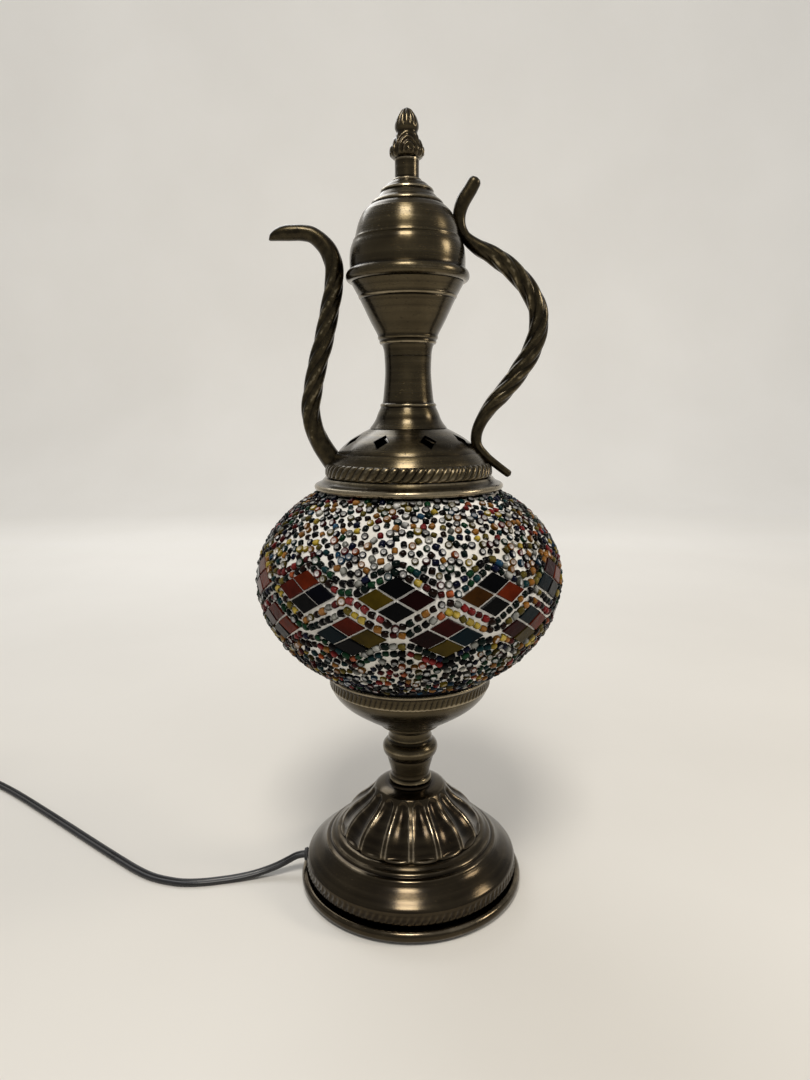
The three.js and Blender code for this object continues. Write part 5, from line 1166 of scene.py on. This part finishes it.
spoutPoints = [
    (-(spout["root"] + spout["reach"] * out), 0, capFoot + capSpan * up) for out, up in spout["line"]
]
twistedArm("spout_twisted", "spout", spoutPoints, spout)
handlePoints = [
    (handle["root"] - handle["inward"] * up + handle["reach"] * out, handle["aside"] * aside,
     capFoot + capSpan * up)
    for out, aside, up in handle["line"]
]
twistedArm("handle_twisted", "handle", handlePoints, handle)
print("spout and handle made")

# lamp holder, bulb, seat of the globe, and the lead inside the foot and the rod
thread = {"pitch": 2.54, "depth": 0.45}


# Round thread: depth * cos of height over pitch less the turn, so the ridge climbs one pitch a turn
def threadRelief(low, high):
    def relief(angle, radius, height):
        wave = np.cos(fullTurn * height / mm / thread["pitch"] - angle)
        inBand = within(height, low, high, 1.0)
        return thread["depth"] * mm * (wave - 1) * 0.5 * inBand, 0.3 * wave * inBand
    return relief


holderBaseLine = [(5.3, 0), None, (10.5, 0), (13.2, 2.8), (13.5, 3.4), (13.5, 11), None, (3.3, 11)]
spun(holderKind, "holder_foot", "holder_base", holderBaseLine, 72, 0.8)
holderLine = [
    (3.4, 0), None, (13.2, 0), (13.5, 0.4), (13.5, 8), None, (13.1, 8.4), (13.1, 9), None, (13.5, 9.4),
    (13.5, 20), (13.5, 33.2), (13.2, 34), (12.6, 34),
]
spun(holderKind, "holder_sleeve", "holder_shell", holderLine, 96, 1.3)
sleeveLine = [(4.4, 0), None, (8.4, 0), (8.6, 0.4), (8.6, 25), (8.3, 25.4)]
spun(sleeveKind, "threaded_sleeve", "screw_shell", sleeveLine, 72, 0.9, threadRelief(1, 24.6))
bulbCapLine = [
    (0, 0), None, (2.3, 0), (3.4, 1.2), None, (4.4, 2), (6, 3.4), (6.7, 4.4), (6.7, 10), (6.7, 20),
    (6.7, 23), None, (6.4, 23.6), (6.5, 26), None, (0, 26),
]
spun(bulbCapKind, "bulb_threaded_cap", "bulb_cap", bulbCapLine, 72, 0, threadRelief(5, 22.6))
bulbLine = [
    (0, 0), None, (7.6, 0), (7.9, 2), (9, 5), (12.2, 9), (17, 13.6), (20.6, 18.6), (22.2, 24), (22.5, 29),
    (21.6, 35.4), (19, 41.2), (14.6, 46.2), (8.6, 50), (3.4, 51.5), (0, 51.7),
]
spun(bulbKind, "bulb_ball", "bulb_glass", bulbLine, 96, 0)
gasketOuter = [(38.8, 0.5), (40.6, 0.1), (42.4, 0.6), (42.9, 3), (43, 10.6), (43, 12.2)]
gasketTop = [(43, 12.2), (40.9, 11), (38.7, 9.4)]
gasketInner = [(38.7, 9.4), (38.6, 5), (38.8, 0.5)]
gasketRows = np.vstack([
    profileLine(gasketOuter, 0.6), profileLine(gasketTop, 0.6)[1:], profileLine(gasketInner, 1.2)[1:-1],
])
ringLoop(rubberKind, "seat_ring", "globe_gasket", gasketRows, cap["columns"])
innerLead = {"radius": 1.4, "columns": 12, "step": 2.5}
innerLeadPoints = [
    (-48.4, 0, 11.5), (-40, 0, 13.4), (-24.2, 0, 13.4), (-10, 0, 8.7), (-3.3, 0, 10.1), (0, 0, 17.9),
    (0, 0, 23.4), (0, 0, 60), (0, 0, 109.6), (0, 0, 114.9),
]
leadPath = smoothCurve(innerLeadPoints, innerLead["step"]) * mm
leadTurn = roundOf(innerLead["columns"])[None]
leadReach = innerLead["radius"] * mm
leadRings = sweptRings(leadPath, leadReach * np.cos(leadTurn), leadReach * np.sin(leadTurn), side=(0, 1.0, 0))
laid(cordKind, "inner_lead_round", leadRings, "inner_lead")
print("holder, bulb and lead made")

# solids that stay as they are get their finish
keeps = {
    zincSteel: ["pan_screw_1", "pan_screw_2", "pan_screw_3", "clamp_plate", "lower_washer", "lower_nut",
                "base_rod", "cup_washer", "cup_nut", "tie_rod", "cap_spider", "tie_washer", "tie_nut",
                "spout_screw", "handle_lower_screw", "handle_upper_screw"],
    castIron: ["ballast_disc"],
    contactBrass: ["centre_contact", "plug_blade_1", "plug_blade_2"],
    holderWhite: ["holder_insulator"],
    blackRubber: ["cord_grommet"],
}
for finish, names in keeps.items():
    for name in names:
        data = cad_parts[name].data
        data.materials.clear()
        data.materials.append(finish)

# stage: pale floor running up into a backdrop, soft lamps
stage = {"half": 2.4, "depth": 1.5, "bend": 0.5, "tall": 2.2, "below": 0.0001}


# Pale cloth: near white, with a lift on the backdrop for the camera and for mirrored and passing rays alone
def paleCloth(name):
    add, place, dress = newFinish(name)
    tone = ramp(add, noise(add, place, 3, 4), (0.3, (0.72, 0.7, 0.66)), (0.7, (0.76, 0.74, 0.7)))
    lift = spread(add, add("SeparateXYZ", {0: place})["Y"], 0.15, 1.1, 0.0, 0.4)
    path = add("LightPath", {})
    seen = maths(add, "MAXIMUM", path["Is Camera Ray"], path["Is Glossy Ray"])
    seen = maths(add, "MAXIMUM", seen, path["Is Transmission Ray"])
    return dress({
        "Base Color": tone, "Roughness": 0.9, "Emission Color": tone,
        "Emission Strength": maths(add, "MULTIPLY", lift, seen),
    })


bendTurn = np.linspace(0, np.pi / 2, 24)
bendOut = stage["depth"] + stage["bend"] * np.sin(bendTurn)
bendUp = stage["bend"] * (1 - np.cos(bendTurn))
sweep = np.vstack([[(-stage["half"], 0)], joined(bendOut, bendUp), [(bendOut[-1], stage["tall"])]])
floorSpots = np.array([(x, y, z - stage["below"]) for y, z in sweep for x in (-stage["half"], stage["half"])])
floorQuads = [(2 * k, 2 * k + 1, 2 * k + 3, 2 * k + 2) for k in range(len(sweep) - 1)]
floorMesh = meshOf("floor", floorSpots, floorQuads)
floorMesh.polygons.foreach_set("use_smooth", np.ones(len(floorQuads), bool))
floorMesh.materials.append(paleCloth("pale cloth"))
linked("floor", floorMesh)

lamps = {
    "key": {"place": (-0.08, -0.7, 1.45), "size": 0.4, "watts": 13, "colour": (1, 0.95, 0.87)},
    "side": {"place": (1.15, -0.12, 0.78), "size": 0.3, "watts": 4, "colour": (1, 0.9, 0.76)},
    "back": {"place": (-0.5, 0.9, 1.3), "size": 0.8, "watts": 6, "colour": (0.95, 0.97, 1)},
}
aim = Vector((0, 0, 0.2))
for name, setting in lamps.items():
    lamp = bpy.data.lights.new(name, "AREA")
    lamp.energy = setting["watts"]
    lamp.size = setting["size"]
    lamp.color = setting["colour"]
    place = Vector(setting["place"])
    facing = (aim - place).to_track_quat("-Z", "Y").to_matrix().to_4x4()
    linked(name, lamp).matrix_world = Matrix.Translation(place) @ facing
room = {"colour": (1, 0.985, 0.96, 1), "strength": 0.35}
world = bpy.data.worlds.new("room")
world.use_nodes = True
world.node_tree.nodes["Background"].inputs["Color"].default_value = room["colour"]
world.node_tree.nodes["Background"].inputs["Strength"].default_value = room["strength"]
scene.world = world
print("stage and lamps set")
